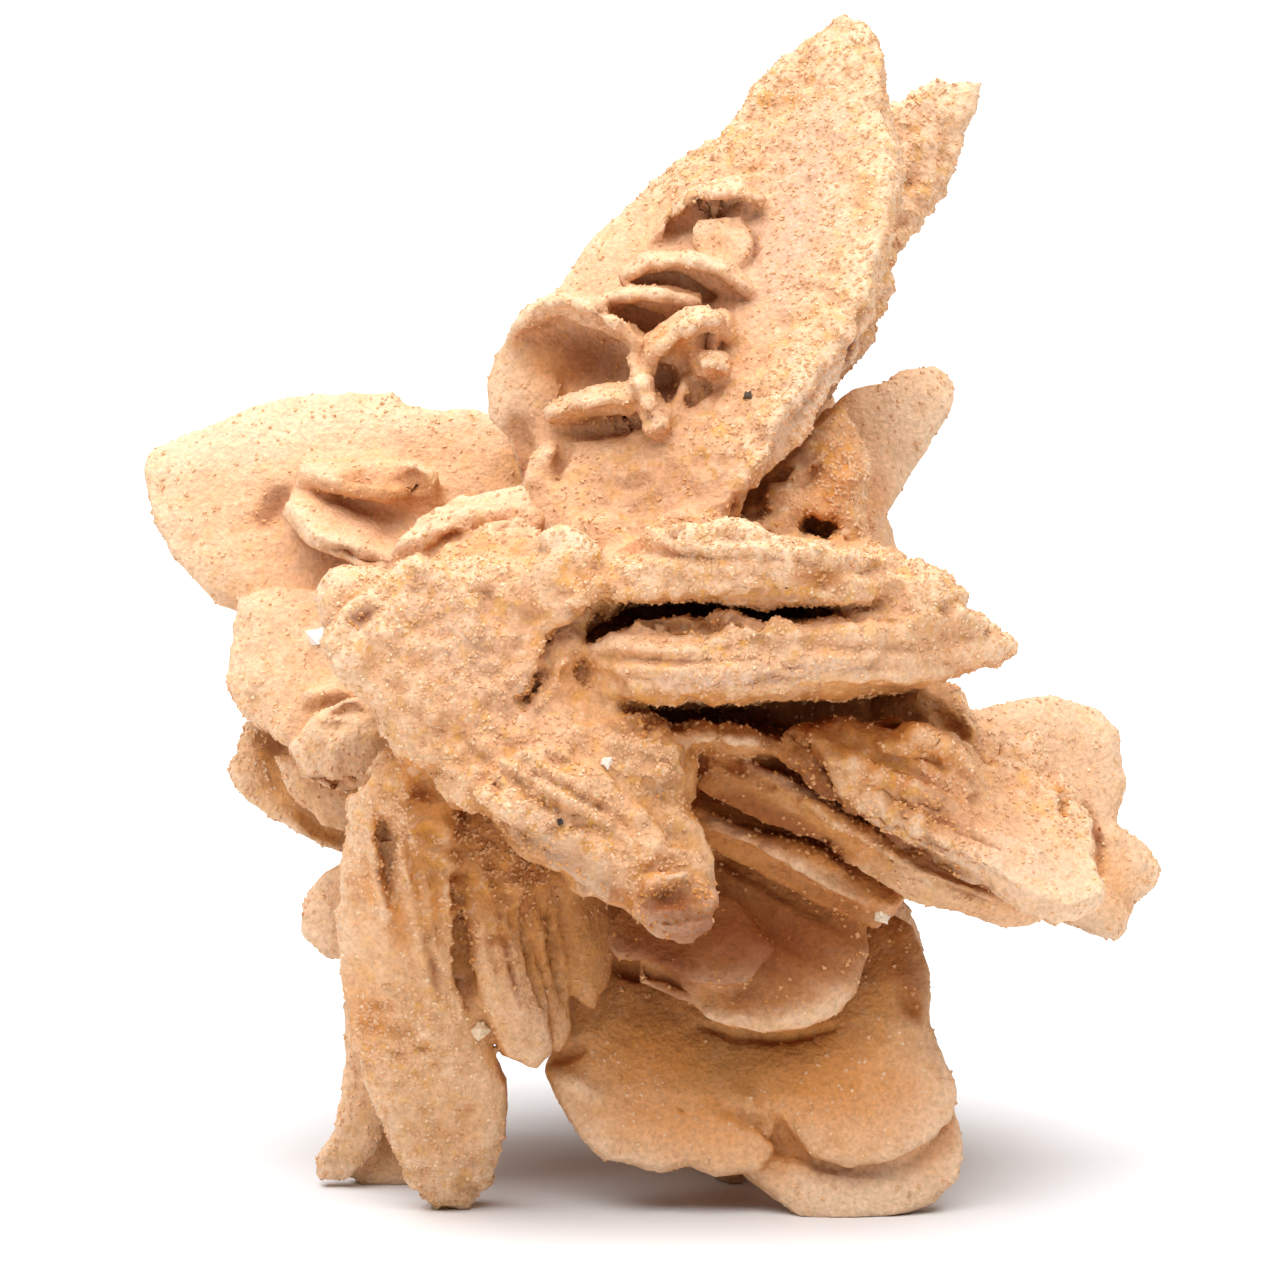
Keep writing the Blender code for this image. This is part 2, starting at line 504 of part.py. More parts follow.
def right_fan():
    """Parallel blades that fan out to the lower right, and the scalloped blade behind them."""
    top = [
        (6.8, 23.9), (9.0, 24.6), (12.5, 24.2), (15.5, 23.9), (17.2, 22.2), (18.2, 23.6),
        (19.8, 23.9), (20.4, 22.2), (21.4, 21.0), (22.3, 19.4), (22.3, 17.5), (23.0, 15.8),
        (21.3, 15.2), (19.5, 15.9), (17.0, 17.1), (14.5, 18.4), (12.2, 19.8), (10.5, 21.1),
        (8.5, 22.4),
    ]
    middle_one = [
        (3.1, 22.2), (5.5, 21.1), (8.0, 19.9), (10.5, 18.5), (13.0, 17.0), (15.5, 16.1),
        (18.5, 15.3), (20.5, 15.6), (20.5, 17.0), (17.0, 20.0), (13.0, 22.5), (8.0, 24.2),
        (4.5, 24.2), (3.0, 23.5),
    ]
    low = [
        (2.5, 20.1), (5.0, 18.5), (7.5, 17.2), (10.0, 16.1), (12.2, 15.2), (13.2, 15.8),
        (12.0, 17.8), (9.5, 19.8), (6.5, 21.5), (4.0, 22.0), (2.6, 21.2),
    ]
    cap = [
        (8.0, 23.9), (10.0, 24.9), (12.5, 24.9), (15.0, 24.1), (16.4, 22.8), (17.5, 21.5),
        (16.0, 20.7), (13.8, 21.0), (11.5, 21.8), (9.5, 22.6),
    ]
    scalloped = [
        (15.0, 25.0), (16.8, 25.5), (20.5, 26.1), (22.5, 25.6), (23.6, 24.6), (23.9, 22.9),
        (24.2, 21.8), (23.6, 19.8), (24.9, 18.9), (25.6, 17.8), (25.3, 16.4), (24.3, 15.1),
        (24.1, 14.1), (22.8, 14.3), (19.5, 16.0), (15.0, 17.5), (10.5, 19.0), (10.0, 23.0),
    ]
    facet = [
        (12.0, 25.2), (13.2, 26.5), (15.0, 27.1), (16.1, 26.5), (16.9, 24.8), (17.4, 22.9),
        (15.5, 22.0), (12.5, 22.8),
    ]
    return [
        facing(top, near=10.6, lean=(-0.56, -1.0), thick=2.3, edge=0.7),
        facing(middle_one, near=8.4, lean=(-0.56, -1.0), thick=2.5, edge=0.8),
        facing(low, near=7.0, lean=(-0.56, -1.0), thick=2.3, edge=0.8),
        facing(cap, near=11.6, lean=(-0.45, -0.8), thick=1.8, edge=0.6),
        facing(scalloped, near=1.0, lean=(-0.5, -0.3), thick=2.4, edge=0.5),
        facing(facet, near=5.6, lean=(0.3, -0.3), thick=1.8, edge=0.5),
    ]


def back():
    """Blades that radiate from the back of the cluster."""
    blades = [
        ((3.0, 36.0, -1.0), (0.10, 0.75, -0.65), 85, (21.0, 15.0)),
        ((-3.0, 33.0, -2.0), (-0.50, 0.28, -0.80), 40, (19.0, 14.0)),
        ((6.0, 33.0, -2.0), (0.35, 0.20, -0.92), 70, (19.0, 15.0)),
        ((0.0, 27.0, -1.0), (0.00, -0.10, -1.00), 10, (22.0, 22.0)),
        ((1.0, 25.0, -3.0), (0.15, -0.35, -0.92), 85, (21.0, 16.0)),
        ((-6.0, 24.0, -2.0), (-0.62, -0.20, -0.76), 60, (18.0, 14.0)),
        ((-5.0, 18.0, -1.0), (-0.45, -0.55, -0.70), 30, (17.0, 12.0)),
        ((6.0, 18.0, -2.0), (0.35, -0.50, -0.79), 60, (20.0, 14.0)),
        ((3.0, 11.0, 0.0), (0.10, -0.62, -0.78), 75, (21.0, 13.0)),
        ((8.0, 24.0, -3.0), (0.72, -0.12, -0.68), 35, (17.0, 14.0)),
        ((-3.0, 30.0, -4.0), (-0.20, 0.10, -0.97), 95, (18.0, 14.0)),
        ((4.0, 30.0, -5.0), (0.25, 0.55, -0.80), 140, (16.0, 12.0)),
        ((0.0, 20.0, -4.0), (-0.15, -0.25, -0.96), 130, (18.0, 13.0)),
        ((-8.0, 30.0, -3.0), (-0.75, 0.10, -0.65), 110, (14.0, 10.0)),
        ((8.0, 12.0, 0.0), (0.40, -0.15, -0.90), 100, (15.0, 11.0)),
        ((4.0, 43.0, -1.0), (0.30, 0.30, -0.90), 30, (13.0, 11.0)),
        ((4.5, 47.0, 3.0), (0.10, 0.25, -0.96), 20, (12.0, 9.0)),
        ((7.5, 51.5, 1.2), (0.20, 0.50, -0.85), 75, (9.0, 6.0)),
    ]
    return [fin(*blade) for blade in blades]


def cluster():
    """Meshes of every blade in front of, beside and behind the core."""
    groups = [
        [crown(), stem()], front_mass(), front_shelves(), tall_blade(), rosette(), left_wing(),
        left_stack(), lower_left(), back_left_foot(), lower_right(), right_fan(), back(),
    ]
    return [blade for group in groups for blade in group]


def hollows():
    """Lens-shaped cutters of the broken facet on the tall blade, and of the deepest pits and slits."""
    broken = [
        (6.2, 41.2), (8.0, 43.8), (10.5, 45.0), (13.0, 44.0), (13.0, 40.0), (11.0, 36.0),
        (8.0, 34.0), (5.2, 35.0), (4.8, 37.0), (5.5, 39.5),
    ]
    under_tall = [
        (5.1, 36.0), (5.6, 36.6), (6.4, 36.4), (6.6, 35.4), (6.1, 34.5), (5.3, 34.7),
    ]
    under_lump = [
        (7.9, 34.9), (8.8, 35.3), (10.2, 35.1), (10.3, 34.5), (9.2, 34.0), (8.2, 34.1),
    ]
    slit = [
        (-13.1, 19.9), (-12.6, 20.1), (-12.3, 18.5), (-12.4, 16.8), (-12.8, 15.6),
        (-13.2, 16.5), (-13.3, 18.5),
    ]
    pit = [
        (15.5, 21.2), (16.1, 21.9), (17.2, 22.0), (17.9, 21.4), (17.6, 20.6), (16.5, 20.2),
        (15.8, 20.6),
    ]
    return [
        facing(broken, near=11.6, lean=(-0.64, -0.1), thick=3.0, edge=0.5),
        facing(under_tall, near=10.0, thick=4.0, edge=0.5),
        facing(under_lump, near=9.5, thick=3.5, edge=0.5),
        facing(slit, near=12.4, lean=(-0.1, 0.42), thick=1.8, edge=0.5),
        facing(pit, near=10.0, lean=(-0.56, -1.0), thick=2.0, edge=0.5),
    ]


def as_object(name, mesh, collection):
    """Object made of a bmesh, linked to a collection."""
    data = bpy.data.meshes.new(name)
    mesh.to_mesh(data)
    mesh.free()
    made = bpy.data.objects.new(name, data)
    collection.objects.link(made)
    return made


def ground_block():
    """Block below the ground, which cuts the lowest tips flat."""
    mesh = bmesh.new()
    bmesh.ops.create_cube(mesh, size=MM)
    bmesh.ops.scale(mesh, vec=GROUND_BLOCK, verts=mesh.verts)
    bmesh.ops.translate(mesh, vec=(0, 0, -GROUND_BLOCK[2] * MM / 2), verts=mesh.verts)
    return mesh


def shells(mesh):
    """Groups of faces that hang together, the one with most faces first."""
    left = set(mesh.faces)
    found = []
    while left:
        group, front = set(), [left.pop()]
        while front:
            face = front.pop()
            group.add(face)
            for edge in face.edges:
                for other in edge.link_faces:
                    if other in left:
                        left.remove(other)
                        front.append(other)
        found.append(group)
    return sorted(found, key=len, reverse=True)


def boolean(base, name, operation, operands):
    """Boolean modifier of a base with every object of a collection."""
    modifier = base.modifiers.new(name, "BOOLEAN")
    modifier.operation = operation
    modifier.solver = "EXACT"
    modifier.operand_type = "COLLECTION"
    modifier.collection = operands


def fuse(base, blades, cutters):
    """One mesh of the base and blades together, less the cutters, without closed-in pockets."""
    boolean(base, "blades", "UNION", blades)
    boolean(base, "cuts", "DIFFERENCE", cutters)
    depsgraph = bpy.context.evaluated_depsgraph_get()
    whole = bmesh.new()
    whole.from_mesh(base.evaluated_get(depsgraph).data)
    bmesh.ops.remove_doubles(whole, verts=whole.verts, dist=MERGE * MM)
    bmesh.ops.dissolve_degenerate(whole, edges=whole.edges, dist=MERGE * MM)
    bmesh.ops.dissolve_limit(whole, angle_limit=FLAT, verts=whole.verts, edges=whole.edges)
    bmesh.ops.triangulate(whole, faces=whole.faces)
    for pocket in shells(whole)[1:]:
        bmesh.ops.delete(whole, geom=list(pocket), context="FACES")
    return whole


def centred(mesh):
    """Moves a mesh so that the origin is under the middle of it."""
    across = [v.co.x for v in mesh.verts]
    away = [v.co.y for v in mesh.verts]
    shift = Vector((-(min(across) + max(across)) / 2, -(min(away) + max(away)) / 2, 0))
    bmesh.ops.translate(mesh, vec=shift, verts=mesh.verts)
    return mesh


def sandstone():
    """Matt gypsum full of tan sand."""
    material = bpy.data.materials.new("sandy_gypsum")
    material.use_nodes = True
    shader = material.node_tree.nodes["Principled BSDF"]
    shader.inputs["Base Color"].default_value = (0.66, 0.40, 0.22, 1.0)
    shader.inputs["Roughness"].default_value = 0.85
    shader.inputs["Metallic"].default_value = 0.0
    return material


def gathered(name, meshes):
    """New collection in the scene that holds one object for each mesh."""
    collection = bpy.data.collections.new(name)
    bpy.context.scene.collection.children.link(collection)
    for mesh in meshes:
        as_object(name, mesh, collection)
    return collection


def main():
    for old in list(bpy.data.objects):
        bpy.data.objects.remove(old, do_unlink=True)
    scene = bpy.context.scene.collection
    blades = gathered("blade", cluster())
    cutters = gathered("cut", [ground_block(), *hollows()])
    base = as_object("core", core(), scene)
    whole = fuse(base, blades, cutters)
    for helper in [*blades.objects, *cutters.objects, base]:
        bpy.data.objects.remove(helper, do_unlink=True)
    bpy.data.collections.remove(blades)
    bpy.data.collections.remove(cutters)
    rose = as_object("sand_rose", centred(whole), scene)
    rose.data.materials.append(sandstone())


main()
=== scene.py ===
"""A gypsum sand rose on a pale floor.

The CAD solid gives the blades. This script stands small flakes on it, fills seams, carves grooves and
roughens the whole surface, and then strews sand grains and a few mineral chips over it.
"""

import math

import bmesh
import bpy
import numpy as np
from mathutils import Matrix, Vector
from mathutils.bvhtree import BVHTree
from mathutils.kdtree import KDTree


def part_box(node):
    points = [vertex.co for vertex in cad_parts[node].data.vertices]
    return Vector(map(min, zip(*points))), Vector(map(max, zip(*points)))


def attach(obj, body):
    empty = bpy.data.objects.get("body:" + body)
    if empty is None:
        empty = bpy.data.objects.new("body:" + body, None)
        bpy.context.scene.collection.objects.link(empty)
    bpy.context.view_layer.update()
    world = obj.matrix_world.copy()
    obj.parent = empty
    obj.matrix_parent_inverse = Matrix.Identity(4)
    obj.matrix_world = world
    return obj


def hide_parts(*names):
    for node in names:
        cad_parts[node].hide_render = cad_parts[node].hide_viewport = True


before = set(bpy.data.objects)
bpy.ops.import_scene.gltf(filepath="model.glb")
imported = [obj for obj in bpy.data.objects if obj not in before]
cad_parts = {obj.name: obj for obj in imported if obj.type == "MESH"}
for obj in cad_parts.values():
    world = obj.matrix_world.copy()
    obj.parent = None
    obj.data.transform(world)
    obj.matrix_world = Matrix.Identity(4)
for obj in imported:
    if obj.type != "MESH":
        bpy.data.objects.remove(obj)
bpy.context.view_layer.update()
rose_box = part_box("sand_rose")

MM = 0.001

# Line of sight, as in the part: spots are given in mm as (across, up) on an upright plane.
SIGHT_PITCH = math.radians(8.0)
SIGHT_DISTANCE = 400.0
SIGHT_HEIGHT = 29.0

# From there into the frame, in mm: how far the part was lowered, and how far its middle was moved.
GROUND = -1.35
CENTRING = Vector((-0.434, -5.857, 0.0))

# Camera: width of its view at that plane and of its sensor, in mm.
VIEW_WIDTH = 64.0
SENSOR_WIDTH = 36.0

# Light: a weak even fill, a bright backdrop, and a broad tent of light above the rose.
FILL = 0.12
BACKDROP = 1.2
TENT = 6.2
TENT_SPREAD = math.radians(80.0)
TENT_SIDE = (-0.09, -0.2, 1.0)
FLOOR_SIZE = 3.0
FLOOR_COLOUR = (0.82, 0.82, 0.83)

# Grid that tells how crowded the space round each spot is, in mm.
CELL = 0.4
MARGIN = 12.0

# Detail: size of the surface's cells in mm, its triangles, and the share of the grains that are made.
VOXEL = 0.2
SURFACE_TRIANGLES = 195000
GRAIN_SHARE = 1.0

# Relief, in octaves of noise: (lump size in mm, seed, depth in mm, further depth where it is rough).
SWELLS = (4.5, 1, 0.12, 0.1)
WAVES = (2.2, 2, 0.07, 0.14)
LUMPS = (1.1, 3, 0.06, 0.2)
KNOBS = (0.65, 4, 0.07, 0.22)
GRIT = (0.42, 6, 0.05, 0.12)

# Pits open where their noise passes a level. Depths in mm.
PIT_SIZE = 1.1
PIT_SEED = 5
PIT_LEVEL = 0.45
PIT_DEPTH = 0.15
PIT_DEPTH_ROUGH = 0.45

# Layers: size of their noise in mm along the run, forwards and across it, and their depth in mm.
LAYER_RUN = 7.0
LAYER_FORWARD = 3.0
LAYER_ACROSS = 0.45
LAYER_SEED = 40
LAYER_DEPTH = 0.42

# Bends of the blades, in mm: slight at the front, where lines are traced, and stronger further back.
BEND_SIZE = 3.2
BEND_SEEDS = (31, 32, 33)
BEND_FRONT = 0.12
BEND_MORE_BEHIND = 0.36
BEND_FROM = -5.0
BEND_OVER = 15.0

# Raggedness of carved lines, and the broad patches that are rough beside the traced spots.
RAGGED = 0.35
RAGGED_SIZE = 0.7
RAGGED_SEED = 11
PATCH_SIZE = 11.0
PATCH_SEED = 21
PATCH_GAIN = 1.2
PATCH_MOST = 0.7

# How far out from the surface its surroundings are looked at, and within what reach, both in mm.
# Two looks tell how crowded a place is. The third, which is lifted too, tells how sheltered it is.
CLOSE_LOOK = (0.9, 0.9)
WIDE_LOOK = (2.5, 3.0)
SKY_LOOK = (3.0, 3.0)
SKY_LIFT = 5.0

# Marks traced from the photo, as (across, up) spots in mm. Grooves and ridges are (line, reach, depth).
GROOVES = (
    # flakes on the tall blade
    ([(-5.8, 43.8), (-4.0, 44.1), (-2.0, 43.5), (-0.2, 42.3)], 1.4, 1.3),
    ([(-3.3, 39.3), (-1.8, 39.6), (0.0, 39.8)], 0.9, 0.6),
    ([(1.2, 42.4), (1.4, 41.5), (1.4, 40.8)], 0.8, 0.4),
    ([(3.1, 44.5), (3.6, 43.7)], 0.6, 1.2),
    ([(-2.0, 45.4), (-0.4, 45.1), (1.1, 44.9)], 0.75, 1.2),
    ([(-0.2, 46.8), (1.8, 46.8), (3.5, 46.0)], 0.7, 1.0),
    ([(1.6, 49.7), (3.1, 50.7), (5.4, 50.7)], 0.8, 1.0),
    ([(3.2, 41.9), (2.5, 40.8)], 0.6, 0.9),
    ([(5.5, 49.7), (5.8, 48.5), (5.5, 47.4)], 0.4, 0.3),
    # tall blade and the blades behind it
    ([(-6.1, 39.8), (-5.8, 37.1)], 1.2, 0.6),
    ([(-3.6, 38.7), (-4.0, 37.7), (-4.2, 36.7)], 0.6, 0.4),
    ([(11.1, 45.4), (10.6, 43.9), (10.1, 42.2)], 0.5, 0.6),
    ([(7.4, 37.5), (6.2, 36.5), (5.2, 35.8), (4.8, 35.0)], 0.8, 1.2),
    ([(8.6, 34.7), (9.8, 34.6)], 0.8, 1.2),
    ([(9.1, 37.9), (8.0, 36.4)], 0.45, 0.6),
    ([(-7.2, 34.4), (-5.9, 35.1)], 0.4, 0.4),
    # left wing
    ([(-15.5, 33.4), (-12.8, 33.1)], 0.7, 0.9),
    ([(-14.8, 37.2), (-13.0, 37.4), (-11.0, 36.6)], 1.1, 0.7),
    ([(-18.9, 35.0), (-17.8, 36.5)], 1.2, 0.3),
    # left stack
    ([(-15.8, 25.7), (-13.5, 25.8)], 0.7, 0.7),
    ([(-16.5, 22.0), (-14.8, 21.4), (-13.2, 22.1)], 0.8, 0.8),
    ([(-17.5, 20.9), (-16.0, 19.6), (-14.4, 19.1)], 0.6, 0.6),
    ([(-18.9, 24.2), (-17.8, 23.4)], 0.9, 0.4),
    ([(-14.4, 29.9), (-13.4, 30.4)], 0.7, 0.25),
    # middle mass
    ([(-3.4, 30.4), (-2.0, 30.1)], 0.45, 0.6),
    ([(-2.0, 30.0), (-3.1, 29.5), (-4.0, 28.8), (-4.6, 27.9)], 0.7, 1.7),
    ([(-4.3, 27.6), (-5.0, 26.8), (-5.8, 26.0)], 0.65, 1.5),
    ([(-3.4, 28.4), (-2.5, 27.9)], 0.4, 0.6),
    ([(-7.7, 22.3), (-7.0, 21.4)], 0.4, 0.5),
    ([(-5.6, 21.2), (-4.6, 20.7), (-3.9, 20.2)], 0.4, 0.5),
    ([(-3.4, 19.7), (-2.4, 19.5)], 0.35, 0.4),
    ([(-10.1, 33.9), (-9.0, 34.5), (-8.0, 34.8)], 0.4, 0.4),
    ([(-0.2, 17.4), (2.4, 17.7)], 0.3, 0.3),
    ([(0.5, 21.2), (2.5, 21.5)], 1.0, 0.5),
    # shelves
    ([(10.8, 30.7), (12.5, 31.2)], 0.35, 0.7),
    ([(0.0, 30.1), (3.0, 30.0), (6.0, 30.0), (8.5, 29.9)], 0.5, 0.9),
    # lower shelf slot and right fan
    ([(7.5, 24.4), (8.5, 23.0), (9.8, 21.1)], 0.7, 1.1),
    ([(11.1, 25.1), (13.2, 24.9)], 1.0, 0.7),
    ([(15.0, 25.0), (16.2, 24.2)], 0.8, 0.8),
    ([(11.6, 22.9), (14.2, 22.0), (16.1, 21.4)], 0.4, 0.4),
    ([(10.9, 21.9), (14.5, 20.2), (18.0, 18.5)], 0.35, 0.3),
    ([(10.5, 21.0), (14.5, 18.9), (18.5, 16.8)], 0.35, 0.35),
    ([(13.0, 18.8), (15.8, 17.4), (18.6, 15.7)], 0.35, 0.35),
    ([(14.8, 16.9), (17.2, 16.0)], 0.3, 0.25),
    ([(20.0, 23.8), (21.0, 21.5), (21.1, 20.0)], 0.5, 0.3),
    ([(22.2, 21.0), (23.0, 18.8), (22.9, 17.0)], 0.5, 0.3),
    # lower left blades
    ([(-13.0, 19.8), (-12.8, 17.5), (-12.5, 15.8)], 0.45, 1.2),
    ([(-9.4, 17.4), (-9.1, 15.8), (-8.9, 13.0), (-8.6, 10.6)], 0.65, 1.5),
    ([(-9.2, 17.4), (-8.8, 16.9)], 0.6, 0.8),
    ([(-5.8, 16.5), (-5.4, 13.5), (-4.8, 10.8)], 0.5, 0.9),
    ([(-4.6, 16.0), (-4.2, 13.0), (-3.7, 11.0)], 0.5, 0.9),
    ([(-10.8, 21.4), (-9.7, 21.8)], 1.0, 0.7),
    ([(-7.0, 15.8), (-6.6, 13.0), (-6.0, 10.5)], 0.35, 0.3),
    ([(-11.0, 14.8), (-10.4, 13.0), (-10.0, 11.0)], 0.4, 0.2),
    ([(-4.8, 7.8), (-2.9, 8.6)], 0.6, 0.7),
    # lower right blades
    ([(-1.0, 12.7), (0.5, 12.2), (2.1, 11.3)], 0.8, 0.9),
    ([(3.0, 9.8), (4.8, 9.2), (7.5, 9.2), (9.5, 9.7)], 0.45, 0.6),
    ([(4.2, 5.6), (6.0, 4.9), (7.0, 3.8), (8.8, 2.9), (11.0, 2.6), (13.2, 3.1), (14.9, 4.2)], 0.5, 0.8),
    ([(6.8, 3.9), (7.3, 3.3)], 0.7, 0.8),
    ([(13.2, 11.5), (13.8, 10.4)], 0.7, 0.4),
)
RIDGES = (
    # tall blade and the blades behind it
    ([(1.0, 34.8), (2.5, 35.2), (3.8, 34.6)], 0.8, 0.4),
    ([(11.4, 45.4), (9.6, 43.5), (8.0, 41.2), (6.8, 39.0), (6.1, 37.4)], 0.6, 0.3),
    # middle mass
    ([(-12.0, 33.8), (-11.0, 34.2), (-10.1, 34.5)], 0.8, 0.5),
    ([(-4.6, 34.0), (-3.6, 34.2), (-2.6, 33.4)], 0.8, 0.5),
    ([(0.0, 16.9), (2.5, 17.1)], 0.4, 0.3),
    # lower shelf slot and right fan
    ([(12.0, 23.8), (14.0, 23.9), (15.2, 23.4)], 0.6, 0.5),
    ([(15.8, 23.4), (16.6, 22.2), (16.4, 21.0)], 0.6, 0.4),
    # lower left blades
    ([(-5.0, 17.6), (-3.0, 16.6), (-1.2, 16.4)], 1.2, 0.4),
    ([(-4.8, 7.4), (-3.2, 6.8), (-2.0, 6.0)], 0.8, 0.3),
    # lower right blades
    ([(3.0, 10.4), (6.0, 10.0), (9.0, 10.6), (10.6, 12.2)], 0.9, 0.35),
    ([(5.0, 6.2), (6.2, 5.5)], 0.8, 0.3),
)

# Painted shade in a rust colour that reaches past the grooves: under the flakes, shelves and overhangs and
# along the seams of the fan, as (line, reach, strength).
PAINTED_SHADE_STROKES = (
    # flakes on the tall blade
    ([(-4.5, 43.8), (-1.5, 42.5)], 2.2, 1.0),
    ([(-3.5, 39.5), (0.0, 39.8)], 1.2, 0.6),
    ([(-1.0, 45.2), (0.8, 44.9)], 0.8, 0.9),
    ([(1.2, 42.5), (1.4, 41.0)], 0.9, 0.9),
    ([(2.5, 50.8), (5.2, 50.8)], 0.8, 0.7),
    ([(-6.2, 41.0), (-6.0, 37.0)], 1.6, 0.4),
    # tall blade and the blades behind it
    ([(-2.0, 37.0), (2.0, 36.5), (5.0, 38.0)], 4.0, 0.4),
    ([(7.0, 39.0), (9.5, 37.0)], 1.2, 0.35),
    # left wing
    ([(-13.2, 37.5), (-10.5, 36.0)], 1.6, 0.45),
    # middle mass
    ([(-10.5, 21.0), (-8.0, 20.2), (-5.5, 18.5), (-2.5, 17.0), (0.0, 15.0)], 2.2, 0.5),
    ([(0.0, 15.6), (3.0, 15.9)], 2.0, 1.0),
    ([(0.8, 16.0), (2.5, 16.2)], 0.9, 0.6),
    ([(-9.5, 34.0), (-8.2, 34.6)], 0.6, 0.7),
    # shelves
    ([(-3.5, 30.0), (0.0, 30.4), (4.0, 30.7), (9.5, 30.2)], 0.9, 1.0),
    ([(7.0, 26.5), (9.5, 26.0), (11.0, 25.4)], 1.4, 0.5),
    ([(8.0, 32.2), (10.0, 32.0)], 0.9, 0.6),
    # lower shelf slot and right fan
    ([(6.0, 23.4), (10.0, 21.0), (13.0, 18.8), (17.5, 16.4)], 1.0, 1.0),
    ([(3.0, 21.0), (5.0, 21.0), (8.5, 19.0), (10.5, 17.5), (12.5, 16.2)], 1.2, 0.9),
    ([(-2.0, 24.7), (2.0, 24.8), (7.5, 25.0)], 0.9, 1.0),
    ([(12.0, 21.0), (16.0, 19.8)], 2.5, 0.5),
    ([(7.8, 24.0), (9.2, 21.8)], 1.2, 0.9),
    ([(12.0, 26.0), (16.0, 24.5)], 1.6, 0.2),
    # lower left blades
    ([(-13.0, 19.8), (-12.8, 17.5), (-12.5, 15.8)], 0.7, 1.0),
    ([(-8.5, 10.5), (-8.9, 17.0)], 1.0, 0.8),
    # lower right blades
    ([(0.5, 14.5), (4.0, 14.5), (7.0, 13.8), (11.2, 14.5)], 4.8, 1.0),
    ([(2.0, 12.5), (6.0, 11.8), (9.5, 12.5)], 3.0, 0.7),
    ([(-1.5, 14.0), (2.0, 13.0), (1.0, 11.0)], 3.0, 1.0),
    ([(13.2, 13.0), (13.8, 10.0)], 1.2, 0.6),
)

# Paler bands and patches, as (line, reach, strength). Some are the stone's own pale crust and broken facet;
# most are painted highlight on lit rims, edges and tops, and the lowest is painted light thrown up from the
# floor.
PALE_AND_HIGHLIGHT_MARKS = (
    # tall blade and the blades behind it
    ([(11.5, 49.0), (12.0, 46.0)], 1.2, 0.5),
    ([(11.1, 44.2), (10.0, 42.5), (8.2, 41.0), (7.0, 39.0), (6.4, 37.8)], 1.8, 0.9),
    ([(12.0, 41.0), (13.2, 39.0), (13.8, 37.0)], 4.0, 0.6),
    # left wing
    ([(-23.5, 38.0), (-21.0, 39.0), (-17.0, 39.8), (-12.0, 39.8)], 3.0, 0.7),
    # left stack
    # painted highlight where a glint shows
    ([(-16.8, 29.4), (-15.5, 28.8)], 0.9, 1.0),
    # middle mass
    ([(-12.0, 33.8), (-10.5, 34.4)], 1.0, 0.8),
    ([(-4.8, 34.0), (-2.5, 33.6)], 1.0, 0.8),
    # shelves
    ([(0.0, 33.4), (4.0, 33.8), (8.0, 33.4), (12.0, 33.0)], 1.0, 0.6),
    ([(0.5, 25.9), (3.5, 25.8), (6.5, 26.0)], 0.5, 0.8),
    ([(-2.5, 28.8), (0.0, 29.1)], 0.9, 0.6),
    # lower shelf slot and right fan
    ([(1.4, 23.9), (4.0, 23.8), (6.6, 23.9)], 0.6, 0.7),
    ([(3.2, 20.1), (7.0, 18.1), (11.4, 15.9)], 0.8, 0.5),
    ([(4.0, 23.8), (8.0, 21.5), (11.0, 20.0)], 0.5, 0.5),
    # lower left blades
    ([(-5.0, 18.4), (-3.0, 17.1), (-1.0, 16.6)], 1.5, 0.8),
    ([(-4.0, 7.1), (-2.0, 6.2)], 0.8, 0.4),
    # lower right blades
    ([(0.0, 14.5), (3.0, 14.5)], 0.8, 0.5),
    # painted light thrown up from the floor onto the lowest blades
    ([(8.0, 1.8), (11.0, 1.2), (14.0, 2.0)], 2.5, 0.8),
)

# The greyish lilac broken facet of the tall blade, the grey grain of the second shelf and grey spots.
GREY_MARKS = (
    # tall blade and the blades behind it
    ([(11.1, 44.2), (10.0, 42.5), (8.2, 41.0), (7.0, 39.0), (6.4, 37.8)], 1.5, 0.45),
    ([(9.0, 55.5), (8.0, 50.0), (6.0, 44.5)], 3.6, 0.6),
    # left stack
    ([(-14.2, 30.2), (-13.5, 29.8)], 0.9, 0.5),
    # middle mass
    ([(-9.8, 32.0), (-9.5, 31.8)], 0.7, 0.9),
    ([(-11.0, 31.0), (-7.0, 27.0), (-4.0, 24.0)], 3.5, 0.35),
    # shelves
    ([(0.5, 27.0), (4.0, 26.8), (8.0, 27.4), (12.0, 28.0)], 1.1, 0.6),
    # lower shelf slot and right fan
    ([(14.5, 21.0), (21.0, 17.5)], 3.5, 0.3),
)

